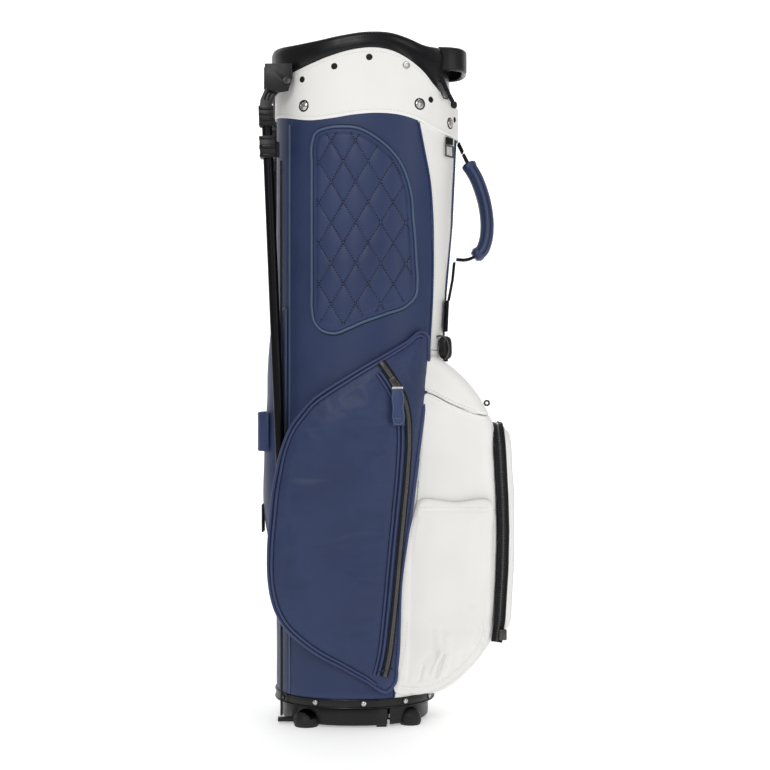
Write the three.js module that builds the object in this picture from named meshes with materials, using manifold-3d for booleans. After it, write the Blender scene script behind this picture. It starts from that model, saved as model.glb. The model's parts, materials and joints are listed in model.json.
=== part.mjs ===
// Golf stand bag: an oval bag body on a tilting foot, two swing-out legs worked by thin rods,
// pockets, quilted side pads, a moulded rim with a six-way divider, and its handles and rings.
// Units are millimetres, +Z is up, the ball pocket faces +X and the legs fold along the -X side.
// The origin is on the floor, at the centre of the whole bag's plan.
import * as THREE from 'three';
import { mergeVertices } from 'three/addons/utils/BufferGeometryUtils.js';
import Module from 'manifold-3d';

const wasm = await Module();
wasm.setup();

// ---------------------------------------------------------------- driving dimensions
const REAR = -144; // rear face of the body
const HALF_WIDTH = 103; // half of the body's width
const OVAL = 2.2; // exponent of the body's oval section
const WALL = 2.5; // thickness of a body panel
const GAP = 0.4; // clearance between pieces that meet
const SKIRT_LOW = 26;
const SKIRT_TOP = 38;
const FLOOR_LOW = 60; // underside of the tray that the clubs stand on
const FLOOR_TOP = 64;
const FOOT_PIVOT = new THREE.Vector3(6, 0, 12);
const FOOT_TOP = 24;
const PAD_TOP = 5;
const LEG_SPREAD = THREE.MathUtils.degToRad(15); // how far each leg's axis is turned to spread the feet
const LEG_PIVOT = new THREE.Vector3(-130, -72, 828);
const LEG_TOP = new THREE.Vector3(-153, -72.5, 792);
const LEG_END = new THREE.Vector3(-130, -76, 240);
const LEG_RADIUS = 6.5;
const ROD_RADIUS = 1.5;
const ROD_TOP = new THREE.Vector3(-134.5, -62, 728.5);
const ROD_FOOT = new THREE.Vector3(-134, -62, 10);

// X of the body's front face against height
const FRONT = [[0, 64], [36, 64], [250, 69], [450, 75], [560, 80], [650, 88], [760, 93], [900, 94]];
// heights of the cuff's lower and upper edges and of the rim's top, against X
const CUFF_LOW = [[-146, 790], [-127, 784], [-97, 777], [-67, 778], [-38, 782], [-9, 784],
  [20, 782], [40, 777], [59, 769], [80, 762], [104, 761]];
const CUFF_TOP = [[-146, 838], [-115, 842], [-97, 848], [-67, 858], [-38, 865], [-12, 867],
  [10, 863], [29, 854], [50, 838], [63, 823], [86, 804], [104, 801]];
const RIM_TOP = [[-150, 879], [-118, 876], [-88, 878], [-58, 883], [-19, 888], [10, 887],
  [30, 882], [50, 876], [84, 879]];
// X of the seam between the navy side panel and the white spine, against height
const NAVY_EDGE = [[36, 11], [108, 20], [136, 19], [184, 22], [270, 34], [346, 44], [398, 51],
  [430, 55], [495, 58], [546, 61], [609, 62], [660, 61], [705, 57], [736, 51], [800, 38]];
const BACK_SEAM = -123;

// ---------------------------------------------------------------- materials
function material(color, roughness, metalness = 0) {
  return new THREE.MeshStandardMaterial({ color, roughness, metalness });
}
const NAVY = () => material(0x3e4866, 0.5);
const WHITE = () => material(0xf0f0ec, 0.55);
const PLASTIC = () => material(0x28282a, 0.45);
const RUBBER = () => material(0x1c1c1e, 0.8);
const WEBBING = () => material(0x202023, 0.9);
const LINING = () => material(0x3a3c44, 0.9);
const TUBE = () => material(0x141416, 0.35, 0.6);
const STEEL = () => material(0x8a8784, 0.3, 1);
const GUNMETAL = () => material(0x3c3a3a, 0.3, 1);

const bag = new THREE.Group();
function add(name, geometry, finish) {
  const mesh = new THREE.Mesh(geometry, finish());
  mesh.name = name;
  bag.add(mesh);
  return mesh;
}

// ---------------------------------------------------------------- geometry helpers
const vec = (x, y, z) => new THREE.Vector3(x, y, z);

function along(table, x) {
  if (x <= table[0][0]) return table[0][1];
  for (let i = 1; i < table.length; i += 1) {
    const [x0, y0] = table[i - 1];
    const [x1, y1] = table[i];
    if (x <= x1) return y0 + (y1 - y0) * (x - x0) / (x1 - x0);
  }
  return table[table.length - 1][1];
}

// A closed BufferGeometry from points and triangles, turned to face outwards.
function solid(points, faces) {
  let volume = 0;
  for (const [a, b, c] of faces) {
    volume += points[a].dot(vec(0, 0, 0).crossVectors(points[b], points[c]));
  }
  const index = volume < 0 ? faces.map(([a, b, c]) => [a, c, b]) : faces;
  const geometry = new THREE.BufferGeometry();
  const flat = points.flatMap((p) => [p.x, p.y, p.z]);
  geometry.setAttribute('position', new THREE.Float32BufferAttribute(flat, 3));
  geometry.setIndex(index.flat());
  return geometry;
}

// Rings of equal point counts joined side by side: capped at both ends, or closed into a loop.
function loft(rings, looped = false) {
  const n = rings[0].length;
  const points = rings.flat();
  const faces = [];
  const last = looped ? rings.length : rings.length - 1;
  for (let i = 0; i < last; i += 1) {
    const lower = i * n;
    const upper = ((i + 1) % rings.length) * n;
    for (let j = 0; j < n; j += 1) {
      const k = (j + 1) % n;
      faces.push([lower + j, lower + k, upper + k], [lower + j, upper + k, upper + j]);
    }
  }
  if (looped) return solid(points, faces);
  for (const [start, flip] of [[0, true], [(rings.length - 1) * n, false]]) {
    const middle = points.length;
    const centre = vec(0, 0, 0);
    for (let j = 0; j < n; j += 1) centre.addScaledVector(points[start + j], 1 / n);
    points.push(centre);
    for (let j = 0; j < n; j += 1) {
      const k = (j + 1) % n;
      faces.push(flip ? [middle, start + k, start + j] : [middle, start + j, start + k]);
    }
  }
  return solid(points, faces);
}

// A curved plate: surface(u, v, depth) gives its outer face at depth 0 and its inner face at 1.
function plate(rows, columns, surface) {
  const points = [];
  const faces = [];
  const at = (side, i, j) => side * (rows + 1) * (columns + 1) + i * (columns + 1) + j;
  for (const side of [0, 1]) {
    for (let i = 0; i <= rows; i += 1) {
      for (let j = 0; j <= columns; j += 1) points.push(surface(i / rows, j / columns, side));
    }
  }
  const quad = (a, b, c, d) => faces.push([a, b, c], [a, c, d]);
  for (let i = 0; i < rows; i += 1) {
    for (let j = 0; j < columns; j += 1) {
      quad(at(0, i, j), at(0, i, j + 1), at(0, i + 1, j + 1), at(0, i + 1, j));
      quad(at(1, i, j), at(1, i + 1, j), at(1, i + 1, j + 1), at(1, i, j + 1));
    }
    quad(at(0, i, 0), at(0, i + 1, 0), at(1, i + 1, 0), at(1, i, 0));
    quad(at(0, i + 1, columns), at(0, i, columns), at(1, i, columns), at(1, i + 1, columns));
  }
  for (let j = 0; j < columns; j += 1) {
    quad(at(0, 0, j + 1), at(0, 0, j), at(1, 0, j), at(1, 0, j + 1));
    quad(at(0, rows, j), at(0, rows, j + 1), at(1, rows, j + 1), at(1, rows, j));
  }
  return solid(points, faces);
}

// A flat strap or a shaped bar that follows points, with its width along one fixed direction;
// taper scales that width along the strap.
function strap(points, width, thickness, across, taper = () => 1) {
  const rings = points.map((p, i) => {
    const before = points[Math.max(i - 1, 0)];
    const after = points[Math.min(i + 1, points.length - 1)];
    const run = after.clone().sub(before).normalize();
    const out = vec(0, 0, 0).crossVectors(run, across).normalize();
    const scale = taper(i / (points.length - 1));
    const corners = [[-1, -1], [1, -1], [1, 1], [-1, 1]];
    return corners.map(([u, v]) => p.clone()
      .addScaledVector(across, u * width / 2 * scale)
      .addScaledVector(out, v * thickness / 2));
  });
  return loft(rings);
}

// A round bar along a curve.
function tube(points, radius, sides = 10, steps = 12) {
  const path = points.length > 2
    ? new THREE.CatmullRomCurve3(points) : new THREE.LineCurve3(points[0], points[1]);
  const section = new THREE.Shape();
  for (let i = 0; i < sides; i += 1) {
    const t = i / sides * 2 * Math.PI;
    if (i === 0) section.moveTo(radius, 0);
    else section.lineTo(radius * Math.cos(t), radius * Math.sin(t));
  }
  section.closePath();
  const count = points.length > 2 ? steps : 1;
  const geometry = new THREE.ExtrudeGeometry(section, { steps: count, extrudePath: path });
  return tidy(geometry);
}

function tidy(geometry) {
  const bare = geometry.clone();
  bare.deleteAttribute('normal');
  bare.deleteAttribute('uv');
  return mergeVertices(bare, 1e-3);
}

function box(x0, x1, y0, y1, z0, z1) {
  const geometry = new THREE.BoxGeometry(x1 - x0, y1 - y0, z1 - z0);
  geometry.translate((x0 + x1) / 2, (y0 + y1) / 2, (z0 + z1) / 2);
  return tidy(geometry);
}

// A cylinder with its axis along Y, from y0 to y1.
function barrel(x, y0, y1, z, radius, sides = 20) {
  const geometry = new THREE.CylinderGeometry(radius, radius, y1 - y0, sides);
  geometry.translate(x, (y0 + y1) / 2, z);
  return tidy(geometry);
}

// An outline of [x, z] points made solid from y0 to y1, with its side edges rounded.
function slab(outline, y0, y1, round = 0, segments = 3) {
  const shape = new THREE.Shape(outline.map(([x, z]) => new THREE.Vector2(x, z)));
  const options = round > 0
    ? { depth: y1 - y0 - 2 * round, bevelEnabled: true, bevelThickness: round, bevelSize: round,
      bevelOffset: -round, bevelSegments: segments, curveSegments: 8 }
    : { depth: y1 - y0, bevelEnabled: false, curveSegments: 8 };
  const geometry = new THREE.ExtrudeGeometry(shape, options);
  geometry.translate(0, 0, round);
  geometry.rotateX(Math.PI / 2);
  geometry.translate(0, y1, 0);
  return tidy(geometry);
}

function toManifold(geometry) {
  const vertProperties = new Float32Array(geometry.attributes.position.array);
  const triVerts = new Uint32Array(geometry.index.array);
  return new wasm.Manifold(new wasm.Mesh({ numProp: 3, vertProperties, triVerts }));
}

function fromManifold(shape) {
  const mesh = shape.getMesh();
  const geometry = new THREE.BufferGeometry();
  geometry.setAttribute('position', new THREE.Float32BufferAttribute(mesh.vertProperties, 3));
  geometry.setIndex(Array.from(mesh.triVerts));
  return geometry;
}

const join = (...parts) => fromManifold(parts.map(toManifold).reduce((a, b) => a.add(b)));
const cut = (part, ...tools) => fromManifold(
  tools.map(toManifold).reduce((a, b) => a.subtract(b), toManifold(part)));
const common = (part, tool) => fromManifold(toManifold(part).intersect(toManifold(tool)));

// A cut can leave slivers behind; only the largest body is kept.
function largest(geometry) {
  const bodies = toManifold(geometry).decompose();
  bodies.sort((a, b) => b.volume() - a.volume());
  return fromManifold(bodies[0]);
}

function flipY(geometry) {
  const other = geometry.clone();
  other.scale(1, -1, 1);
  const index = other.index.array;
  for (let i = 0; i < index.length; i += 3) {
    [index[i + 1], index[i + 2]] = [index[i + 2], index[i + 1]];
  }
  return other;
}

// ---------------------------------------------------------------- the body's oval
// A point of the body's surface: t turns from +X towards +Y, grow is how far it stands off.
function oval(t, z, grow = 0, front = along(FRONT, z), rear = REAR) {
  const c = Math.cos(t);
  const s = Math.sin(t);
  return vec(
    (front + rear) / 2 + ((front - rear) / 2 + grow) * Math.sign(c) * Math.abs(c) ** (2 / OVAL),
    (HALF_WIDTH + grow) * Math.sign(s) * Math.abs(s) ** (2 / OVAL),
    z,
  );
}

// The angle at which the -Y side of the oval reaches x.
function angleAt(x, z) {
  const front = along(FRONT, z);
  const share = (x - (front + REAR) / 2) / ((front - REAR) / 2);
  const c = Math.sign(share) * Math.min(Math.abs(share), 1) ** (OVAL / 2);
  return -Math.acos(c);
}

// Half-width of the body at x.
function bodyY(x, z) {
  const front = along(FRONT, z);
  const share = Math.min(Math.abs(x - (front + REAR) / 2) / ((front - REAR) / 2), 1);
  return HALF_WIDTH * (1 - share ** OVAL) ** (1 / OVAL);
}

const SIDES = 40;
// A ring round the body; height is a number or a function of x.
function ring(height, grow, front, rear, sides = SIDES) {
  const points = [];
  for (let j = 0; j < sides; j += 1) {
    const t = j / sides * 2 * Math.PI;
    let p = oval(t, typeof height === 'number' ? height : height(0), grow, front, rear);
    if (typeof height !== 'number') p = oval(t, height(p.x), grow, front, rear);
    points.push(p);
  }
  return points;
}

// The whole body as one solid, standing off its surface by grow, for cutting what rests on it.
function bodySolid(grow, low = 10, high = 880) {
  const heights = FRONT.map(([z]) => z).filter((z) => z > low && z < high);
  return loft([low, ...heights, high].map((z) => ring(z, grow, along(FRONT, z), REAR, 2 * SIDES)));
}

// ---------------------------------------------------------------- base
const skirtOut = 1;
const skirtIn = -5.2;
const LINER_GAP = 1.6; // room between the panels and what stands inside them
const trayRim = -WALL - LINER_GAP;
add('base_skirt', loft([
  ring(FLOOR_LOW, skirtIn),
  ring(SKIRT_LOW, skirtIn),
  ring(SKIRT_LOW, skirtOut),
  ring(SKIRT_TOP, skirtOut),
  ring(SKIRT_TOP, trayRim),
  ring(FLOOR_TOP, trayRim),
]), PLASTIC);

// The lower base is one oval slab, split across at the foot's hinge.
const SPLIT = FOOT_PIVOT.x;
const footOval = loft([ring(PAD_TOP - 2, -8.5), ring(PAD_TOP, -6.8), ring(FOOT_TOP, -6.8)]);
const blockOval = loft([ring(PAD_TOP - 2, -8.5), ring(PAD_TOP, -6.8), ring(SKIRT_LOW + 20, -6.8)]);
const KNUCKLES = [[-62, -24], [24, 62]];
const knuckle = (y0, y1) => join(
  box(SPLIT - 12, SPLIT, y0, y1, 5, 20), barrel(SPLIT, y0, y1, FOOT_PIVOT.z, 7.6));
const knuckleRoom = (y0, y1) => barrel(SPLIT, y0 - 0.8, y1 + 0.8, FOOT_PIVOT.z, 9.2);
const pinRoom = barrel(SPLIT, -74, 74, FOOT_PIVOT.z, 3.5);
const ear = (y0, y1) => box(ROD_FOOT.x - 4.5, -112, y0, y1, PAD_TOP - 2, PAD_TOP + 3);
const footBody = join(
  common(footOval, box(-200, SPLIT - 3, -120, 120, 0, 30)),
  ...KNUCKLES.map(([y0, y1]) => knuckle(y0, y1)),
  ear(-67, -57),
  ear(57, 67),
);
// Rounded rubber feet stand out of the base's sides; each pair is one moulding with its own bar.
function feet(x, y, reachX, reachY, bar, grow = 0) {
  const dome = (side) => {
    const ball = new THREE.SphereGeometry(1, 14, 9);
    ball.rotateX(Math.PI / 2);
    ball.scale(reachX + grow, reachY + grow, 15 + grow);
    ball.translate(x, y * side, 7);
    return tidy(ball);
  };
  const low = grow > 0 ? -5 : 0;
  const both = join(dome(-1), dome(1), box(x - 9 - grow, x + 9 + grow, -y, y, low, bar + grow));
  return common(both, box(-200, 200, -150, 150, low, 60));
}
const REAR_FEET = [-101, 79, 17, 17, 2.6];
const FRONT_FEET = [32.5, 67, 14.5, 14, 2.6];
// The rear feet rise past the skirt as the foot tilts, so above this height they stay outside it.
const LIP_LOW = 11;
const LIP_OUT = skirtOut + 2.2;
const midFoot = (y0, y1) => box(-11, 2, y0, y1, 0, PAD_TOP);
add('foot_plate', cut(join(footBody, midFoot(-86, -64), midFoot(64, 86)), pinRoom,
  box(SPLIT - 8, SPLIT + 9, -23.2, 23.2, -1, 30), feet(...REAR_FEET, GAP)), PLASTIC);
add('front_foot_block', cut(
  common(blockOval, box(SPLIT, 90, -120, 120, 0, 60)),
  ...KNUCKLES.map(([y0, y1]) => knuckleRoom(y0, y1)),
  pinRoom,
  feet(...FRONT_FEET, GAP),
), PLASTIC);
add('rear_rubber_foot', largest(cut(feet(...REAR_FEET),
  loft([ring(LIP_LOW, LIP_OUT), ring(SKIRT_TOP, LIP_OUT)]))), RUBBER);
add('front_rubber_foot', feet(...FRONT_FEET), RUBBER);
add('foot_hinge_pin', barrel(SPLIT, -73, 73, FOOT_PIVOT.z, 3), STEEL);

// ---------------------------------------------------------------- body panels
const PANEL_LOW = SKIRT_TOP + GAP;
const cuffLow = (x) => along(CUFF_LOW, x);
const cuffTop = (x) => along(CUFF_TOP, x);
const rimTop = (x) => along(RIM_TOP, x);
const SEAM = 0.25; // half of the gap between two panels, in degrees of the oval

// A panel between two edges, each an angle that may change with height.
function panel(rows, columns, from, to) {
  return plate(rows, columns, (u, v, depth) => {
    let p = vec(0, 0, PANEL_LOW);
    let top = 780;
    for (let pass = 0; pass < 3; pass += 1) {
      const z = PANEL_LOW + (top - PANEL_LOW) * u;
      const t = from(z) + (to(z) - from(z)) * v;
      p = oval(t, z, -WALL * depth);
      top = cuffLow(p.x) - 1.4;
    }
    return p;
  });
}
const seam = THREE.MathUtils.degToRad(SEAM);
const backEdge = (z) => angleAt(BACK_SEAM, z);
const navyEdge = (z) => angleAt(along(NAVY_EDGE, z), z);
const sidePanel = panel(12, 9, (z) => backEdge(z) + seam, (z) => navyEdge(z) - seam);
add('side_panel_left', sidePanel, NAVY);
add('side_panel_right', flipY(sidePanel), NAVY);
add('back_panel', panel(6, 10, (z) => -2 * Math.PI - backEdge(z) + seam,
  (z) => backEdge(z) - seam), NAVY);
add('spine_panel', panel(12, 12, (z) => navyEdge(z) + seam, (z) => -navyEdge(z) - seam), WHITE);

// A thin navy strip is sewn down the middle of the spine, from the cuff to the upper pocket.
add('spine_strip', plate(8, 4, (u, v, depth) => {
  const z = 520 + (755 - 520) * u;
  const t = THREE.MathUtils.degToRad(-7 + 14 * v);
  return oval(t, z, depth ? 1 : 2.4);
}), NAVY);

// ---------------------------------------------------------------- cuff, rim and dividers
const CUFF_OUT = 2;
const tail = (x) => CUFF_OUT + 3 * Math.max(0, Math.min(1, (x - 60) / 40)); // stands off in front
function cuffRing(height, inner) {
  return ring(height, 0).map((p) => {
    const grow = inner ? -WALL : tail(p.x);
    const t = Math.atan2(p.y, p.x - (along(FRONT, p.z) + REAR) / 2);
    return p.clone().add(vec(Math.cos(t), Math.sin(t), 0).multiplyScalar(grow));
  });
}
const cuffMiddle = (x) => (cuffLow(x) + cuffTop(x)) / 2;
add('cuff', loft([
  cuffRing(cuffLow, false),
  cuffRing(cuffMiddle, false),
  cuffRing(cuffTop, false),
  cuffRing(cuffTop, true),
  cuffRing(cuffMiddle, true),
  cuffRing(cuffLow, true),
], true), WHITE);

const RIM_FRONT = 82;
const RIM_REAR = -147;
const RIM_WALL = 8;
const COLLAR_LOW = 796;
const rimFoot = (x) => cuffTop(x) + 1.4;
add('top_rim', loft([
  ring(rimFoot, CUFF_OUT - 0.5),
  ring((x) => cuffTop(x) + Math.min(9, (rimTop(x) - cuffTop(x)) * 0.4), 3.4, RIM_FRONT + 4, RIM_REAR),
  ring((x) => rimTop(x) - 5, 3, RIM_FRONT, RIM_REAR),
  ring((x) => rimTop(x) - 1, 0.5, RIM_FRONT, RIM_REAR),
  ring(rimTop, -3, RIM_FRONT, RIM_REAR),
  ring((x) => rimTop(x) - 2, -6, RIM_FRONT, RIM_REAR),
  ring(855, -RIM_WALL, RIM_FRONT, RIM_REAR),
  ring(COLLAR_LOW, -RIM_WALL),
  ring(COLLAR_LOW, -WALL - LINER_GAP),
  ring(rimFoot, -WALL - LINER_GAP),
], true), PLASTIC);

// The six-way divider is a grid of bars inside the rim.
const DIVIDER_LOW = 838;
const DIVIDER_TOP = 868;
const BAR = 8;
const CROSS_BARS = [-72, 12];
const gridBars = join(
  box(-160, 100, -BAR / 2, BAR / 2, DIVIDER_LOW, DIVIDER_TOP),
  ...CROSS_BARS.map((x) => box(x - BAR / 2, x + BAR / 2, -110, 110, DIVIDER_LOW, DIVIDER_TOP)),
);
const rimHollow = loft([
  ring(DIVIDER_LOW - 2, -RIM_WALL - 2.5, RIM_FRONT, RIM_REAR),
  ring(DIVIDER_TOP + 2, -RIM_WALL - 2.5, RIM_FRONT, RIM_REAR),
]);
add('top_divider', common(gridBars, rimHollow), RUBBER);
add('full_length_divider', box(-133, 58, -0.8, 0.8, FLOOR_TOP + GAP, DIVIDER_LOW - GAP), LINING);

// Two stays stand between the base tray and the rim and hold the bag open.
for (const [name, y] of [['left', -93], ['right', 93]]) {
  const geometry = new THREE.CylinderGeometry(2.5, 2.5, COLLAR_LOW - FLOOR_TOP - 2 * GAP, 8);
  geometry.rotateX(Math.PI / 2);
  geometry.translate(-60, y, (COLLAR_LOW + FLOOR_TOP) / 2);
  add(`stay_${name}`, tidy(geometry), STEEL);
}

// The grab handle stands off the front of the rim.
const GRAB_LOW = 849;
const GRAB_TOP = 879;
add('top_handle', cut(strap([
  vec(66, -47, 864), vec(84, -44, 864), vec(98, -36, 864), vec(104, -22, 864), vec(104.5, 0, 864),
  vec(104, 22, 864), vec(98, 36, 864), vec(84, 44, 864), vec(66, 47, 864),
], GRAB_TOP - GRAB_LOW, 7, vec(0, 0, 1)), loft([
  ring(GRAB_LOW - 30, 5.6, RIM_FRONT, RIM_REAR), ring(GRAB_TOP + 30, 5.6, RIM_FRONT, RIM_REAR),
]), box(-200, 70, -150, 150, 800, 900)), PLASTIC);

// ---------------------------------------------------------------- leg bracket, legs and rods
const topEnvelope = join(
  loft([ring(780, CUFF_OUT + 2.4), ring(900, CUFF_OUT + 2.4)]),
  loft([ring(834, 4.6, RIM_FRONT + 4, RIM_REAR), ring(900, 4.6, RIM_FRONT + 4, RIM_REAR)]),
);
const CHEEK_OUT = -86;
const CHEEK_IN = -82.5;
const cheek = slab([[-154, 850], [-155, 826], [-151, 817], [-136, 813], [-124, 815], [-119, 832],
  [-119, 850]], CHEEK_OUT, CHEEK_IN);
const hood = box(-154, -119, CHEEK_IN - 1, -58, 840, 850);
const crossBar = box(-157, -140, -60, 60, 822, 850);
// A round bar about the leg's own axis, from y0 to y1 of the pivot.
function onLegAxis(y0, y1, radius) {
  const geometry = barrel(0, y0, y1, 0, radius);
  geometry.rotateZ(LEG_SPREAD);
  geometry.translate(LEG_PIVOT.x, LEG_PIVOT.y, LEG_PIVOT.z);
  return geometry;
}
const screwRoom = onLegAxis(-24, 14, 3.4);
const halfBracket = cut(join(cheek, hood), screwRoom);
const leftTopRoom = box(-152.5, -100, CHEEK_IN, -61, 810, 840);
add('leg_bracket', cut(
  join(halfBracket, flipY(halfBracket), crossBar),
  topEnvelope, leftTopRoom, flipY(leftTopRoom),
), PLASTIC);

const leg = new THREE.Vector3().subVectors(LEG_END, LEG_TOP).normalize();
const legAt = (z) => LEG_TOP.clone().addScaledVector(leg, (z - LEG_TOP.z) / leg.z);
function legPieces() {
  const hub = onLegAxis(-5.8, 5.5, 7);
  const elbow = strap([
    LEG_PIVOT.clone(), vec(-139, -72.2, 824), vec(-148, -72.3, 815), vec(-153, -72.4, 803),
    vec(-154.5, -72.5, 792), vec(-154, -72.6, 770),
  ], 11, 15, vec(0, 1, 0));
  const sleeve = strap([legAt(797), legAt(771)], 17, 19, vec(0, 1, 0));
  const tubeRoom = tube([legAt(790), legAt(750)], LEG_RADIUS + GAP, 16);
  const clampRoom = tube([legAt(780), legAt(700)], LEG_RADIUS + GAP, 16);
  const clamp = strap([legAt(758), legAt(730)], 19, 20, vec(0, 1, 0));
  const lug = box(-146, -136.8, -70, -58, 733, 752);
  return {
    knuckle: cut(join(hub, elbow, sleeve), screwRoom, tubeRoom),
    tube: tube([legAt(789.5), legAt(262)], LEG_RADIUS, 16),
    clamp: cut(join(clamp, lug), clampRoom),
    foot: cut(tube([legAt(290), LEG_END], LEG_RADIUS + 2.2, 16),
      tube([legAt(300), legAt(262 - GAP)], LEG_RADIUS + GAP, 16)),
  };
}
const left = legPieces();
const legRod = tube([ROD_FOOT, ROD_TOP], ROD_RADIUS, 8);
const screw = join(onLegAxis(-18, 7.5, 3), onLegAxis(-18, -15.9, 5));
for (const [name, turn] of [['left', (g) => g], ['right', flipY]]) {
  add(`leg_knuckle_${name}`, turn(left.knuckle), PLASTIC);
  add(`leg_tube_${name}`, turn(left.tube), TUBE);
  add(`leg_clamp_${name}`, turn(left.clamp), PLASTIC);
  add(`leg_foot_${name}`, turn(left.foot), RUBBER);
  add(`actuator_rod_${name}`, turn(legRod), STEEL);
  add(`leg_pivot_screw_${name}`, turn(screw), STEEL);
}

// ---------------------------------------------------------------- quilted pads
// The pad's outline in side view, and its edge drawn in towards its middle for the crowned face.
const PAD_OUTLINE = [[-92, 534], [-92, 748], [-87, 760], [-72, 766], [-37, 766], [-22, 759],
  [-8, 750], [6, 738], [18, 723], [27, 703], [33, 678], [34.5, 650], [38, 614], [40, 570],
  [39, 555], [34, 545], [24, 538], [-1, 528], [-28, 518], [-46, 510], [-63, 504], [-79, 507],
  [-88, 518]];
// A soft piece on the body's -Y side: its outline, and how far each ring is drawn in and raised.
function cushion(outline, levels, surfaceY) {
  const xs = outline.map((p) => p[0]);
  const zs = outline.map((p) => p[1]);
  const middle = [(Math.min(...xs) + Math.max(...xs)) / 2, (Math.min(...zs) + Math.max(...zs)) / 2];
  const half = [(Math.max(...xs) - Math.min(...xs)) / 2, (Math.max(...zs) - Math.min(...zs)) / 2];
  return loft(levels.map(([inset, raise]) => outline.map(([x, z]) => {
    const px = middle[0] + (x - middle[0]) * (1 - inset / half[0]);
    const pz = middle[1] + (z - middle[1]) * (1 - inset / half[1]);
    return vec(px, -surfaceY(px, pz) - raise, pz);
  })));
}
const quilt = cut(
  cushion(PAD_OUTLINE, [[0, -8], [0, 2.5], [2.5, 4.5], [14, 6], [40, 6.5]], bodyY),
  bodySolid(0.8),
);
add('quilted_pad_left', quilt, NAVY);
add('quilted_pad_right', flipY(quilt), NAVY);

// ---------------------------------------------------------------- side pockets
const POCKET_OUTLINE = [[51, 505], [26, 491], [1, 476], [-32, 457], [-50, 444], [-71, 434],
  [-92, 418], [-106, 402], [-118, 386], [-126, 369], [-132, 354], [-136, 328], [-141, 307],
  [-145, 270], [-148, 223], [-147, 188], [-144, 172], [-139, 155], [-127, 130], [-112, 116],
  [-98, 104], [-83, 95], [-54, 80], [-25, 64], [4, 49], [12, 60], [17, 110], [20, 184], [32, 270],
  [42, 346], [49, 398], [53, 430], [56, 490]];
// In side view the pocket runs flat past the body's rounded rear corner.
function pocketY(x, z) {
  const middle = (along(FRONT, z) + REAR) / 2;
  if (x > middle) return bodyY(x, z);
  return HALF_WIDTH - 7 * ((middle - x) / 109) ** 2;
}
const pocketBack = (depth, reach) => POCKET_OUTLINE.map(
  ([x, z]) => vec(Math.max(x, reach), -Math.min(depth, pocketY(x, z) - 4), z));
function pocketRing(inset, raise) {
  const middle = [-45, 275];
  return POCKET_OUTLINE.map(([x, z]) => {
    const px = middle[0] + (x - middle[0]) * (1 - inset / 98);
    const pz = middle[1] + (z - middle[1]) * (1 - inset / 228);
    return vec(px, -pocketY(px, pz) - raise, pz);
  });
}
const sidePocket = largest(cut(loft([
  pocketBack(40, -110),
  pocketBack(84, -112),
  pocketRing(0, 0),
  pocketRing(0, 6),
  pocketRing(4, 11),
  pocketRing(16, 15),
  pocketRing(40, 18),
]), bodySolid(0.55)));
add('side_pocket_left', sidePocket, NAVY);
add('side_pocket_right', flipY(sidePocket), NAVY);

// ---------------------------------------------------------------- rear pad, loop and bumper
const HIP = [[185, 0], [225, 8], [276, 15], [311, 16], [349, 15], [418, 11], [455, 10], [497, 7],
  [540, 0]];
add('hip_pad', plate(10, 8, (u, v, depth) => {
  const z = 186 + (538 - 186) * u;
  const t = Math.PI - THREE.MathUtils.degToRad(34 - 68 * v);
  const crown = Math.sin(Math.PI * v) ** 0.5;
  return oval(t, z, depth ? GAP : 1.6 + along(HIP, z) * crown);
}), NAVY);
add('rear_loop', strap([
  vec(-152, -44, 377), vec(-161, -41, 377), vec(-166.5, -34, 377), vec(-168, -20, 377),
  vec(-168, 20, 377), vec(-166.5, 34, 377), vec(-161, 41, 377), vec(-152, 44, 377),
], 52, 2.2, vec(0, 0, 1)), NAVY);
add('rear_bumper', box(-163.5, -160.6, -14, 14, 243, 280), RUBBER);

// ---------------------------------------------------------------- ball pocket and upper pocket
const BULGE = [[30, 39], [66, 39], [90, 51], [110, 70], [128, 91], [137, 104], [141, 136],
  [145, 202], [146, 250], [145, 290], [142, 350], [139, 391], [131, 404], [127, 416], [78, 470],
  [40, 486]];
const POCKET_HALF = 74;
const bodyFront = bodySolid(0.8);
const shiftX = (outline, dx) => outline.map(([x, z]) => [x + dx, z]);
const pocketShell = cut(
  slab(BULGE, -POCKET_HALF, POCKET_HALF, 16),
  slab(BULGE.map(([x, z]) => [x - 5, 262 + (z - 262) * 0.965]), -POCKET_HALF + 5, POCKET_HALF - 5, 14),
  bodyFront,
  box(0, 60, -120, -61, 0, 500),
  box(0, 60, 61, 120, 0, 500),
);
const seamLine = [[20, 434], [58, 427], [86, 413], [121, 400], [180, 396]];
const above = (lift) => slab(
  [...seamLine.map(([x, z]) => [x, z + lift]), [180, 600], [20, 600]], -120, 120);
add('ball_pocket', cut(pocketShell, above(-0.25)), WHITE);
add('upper_pocket', common(pocketShell, above(0.25)), WHITE);

// The front of the ball pocket: a zipper tape round three sides of a raised panel.
function frontBlock(half, low, high, round) {
  const shape = new THREE.Shape();
  shape.moveTo(-half, low);
  shape.lineTo(half, low);
  shape.lineTo(half, high - round);
  shape.absarc(half - round, high - round, round, 0, Math.PI / 2);
  shape.absarc(-half + round, high - round, round, Math.PI / 2, Math.PI);
  shape.closePath();
  const geometry = new THREE.ExtrudeGeometry(shape, { depth: 120, bevelEnabled: false,
    curveSegments: 5 });
  geometry.rotateX(Math.PI / 2);
  geometry.rotateZ(Math.PI / 2);
  geometry.translate(90, 0, 0);
  return tidy(geometry);
}
const TAPE_DEPTH = 13.5;
const FRONT_DEPTH = 23;
const layer = (dx, round) => slab(shiftX(BULGE, dx), -POCKET_HALF, POCKET_HALF, round);
add('ball_zip_tape', common(
  cut(frontBlock(POCKET_HALF - 6, 106, 388, 30), layer(GAP, 16)), layer(TAPE_DEPTH, 16)), WEBBING);
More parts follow.
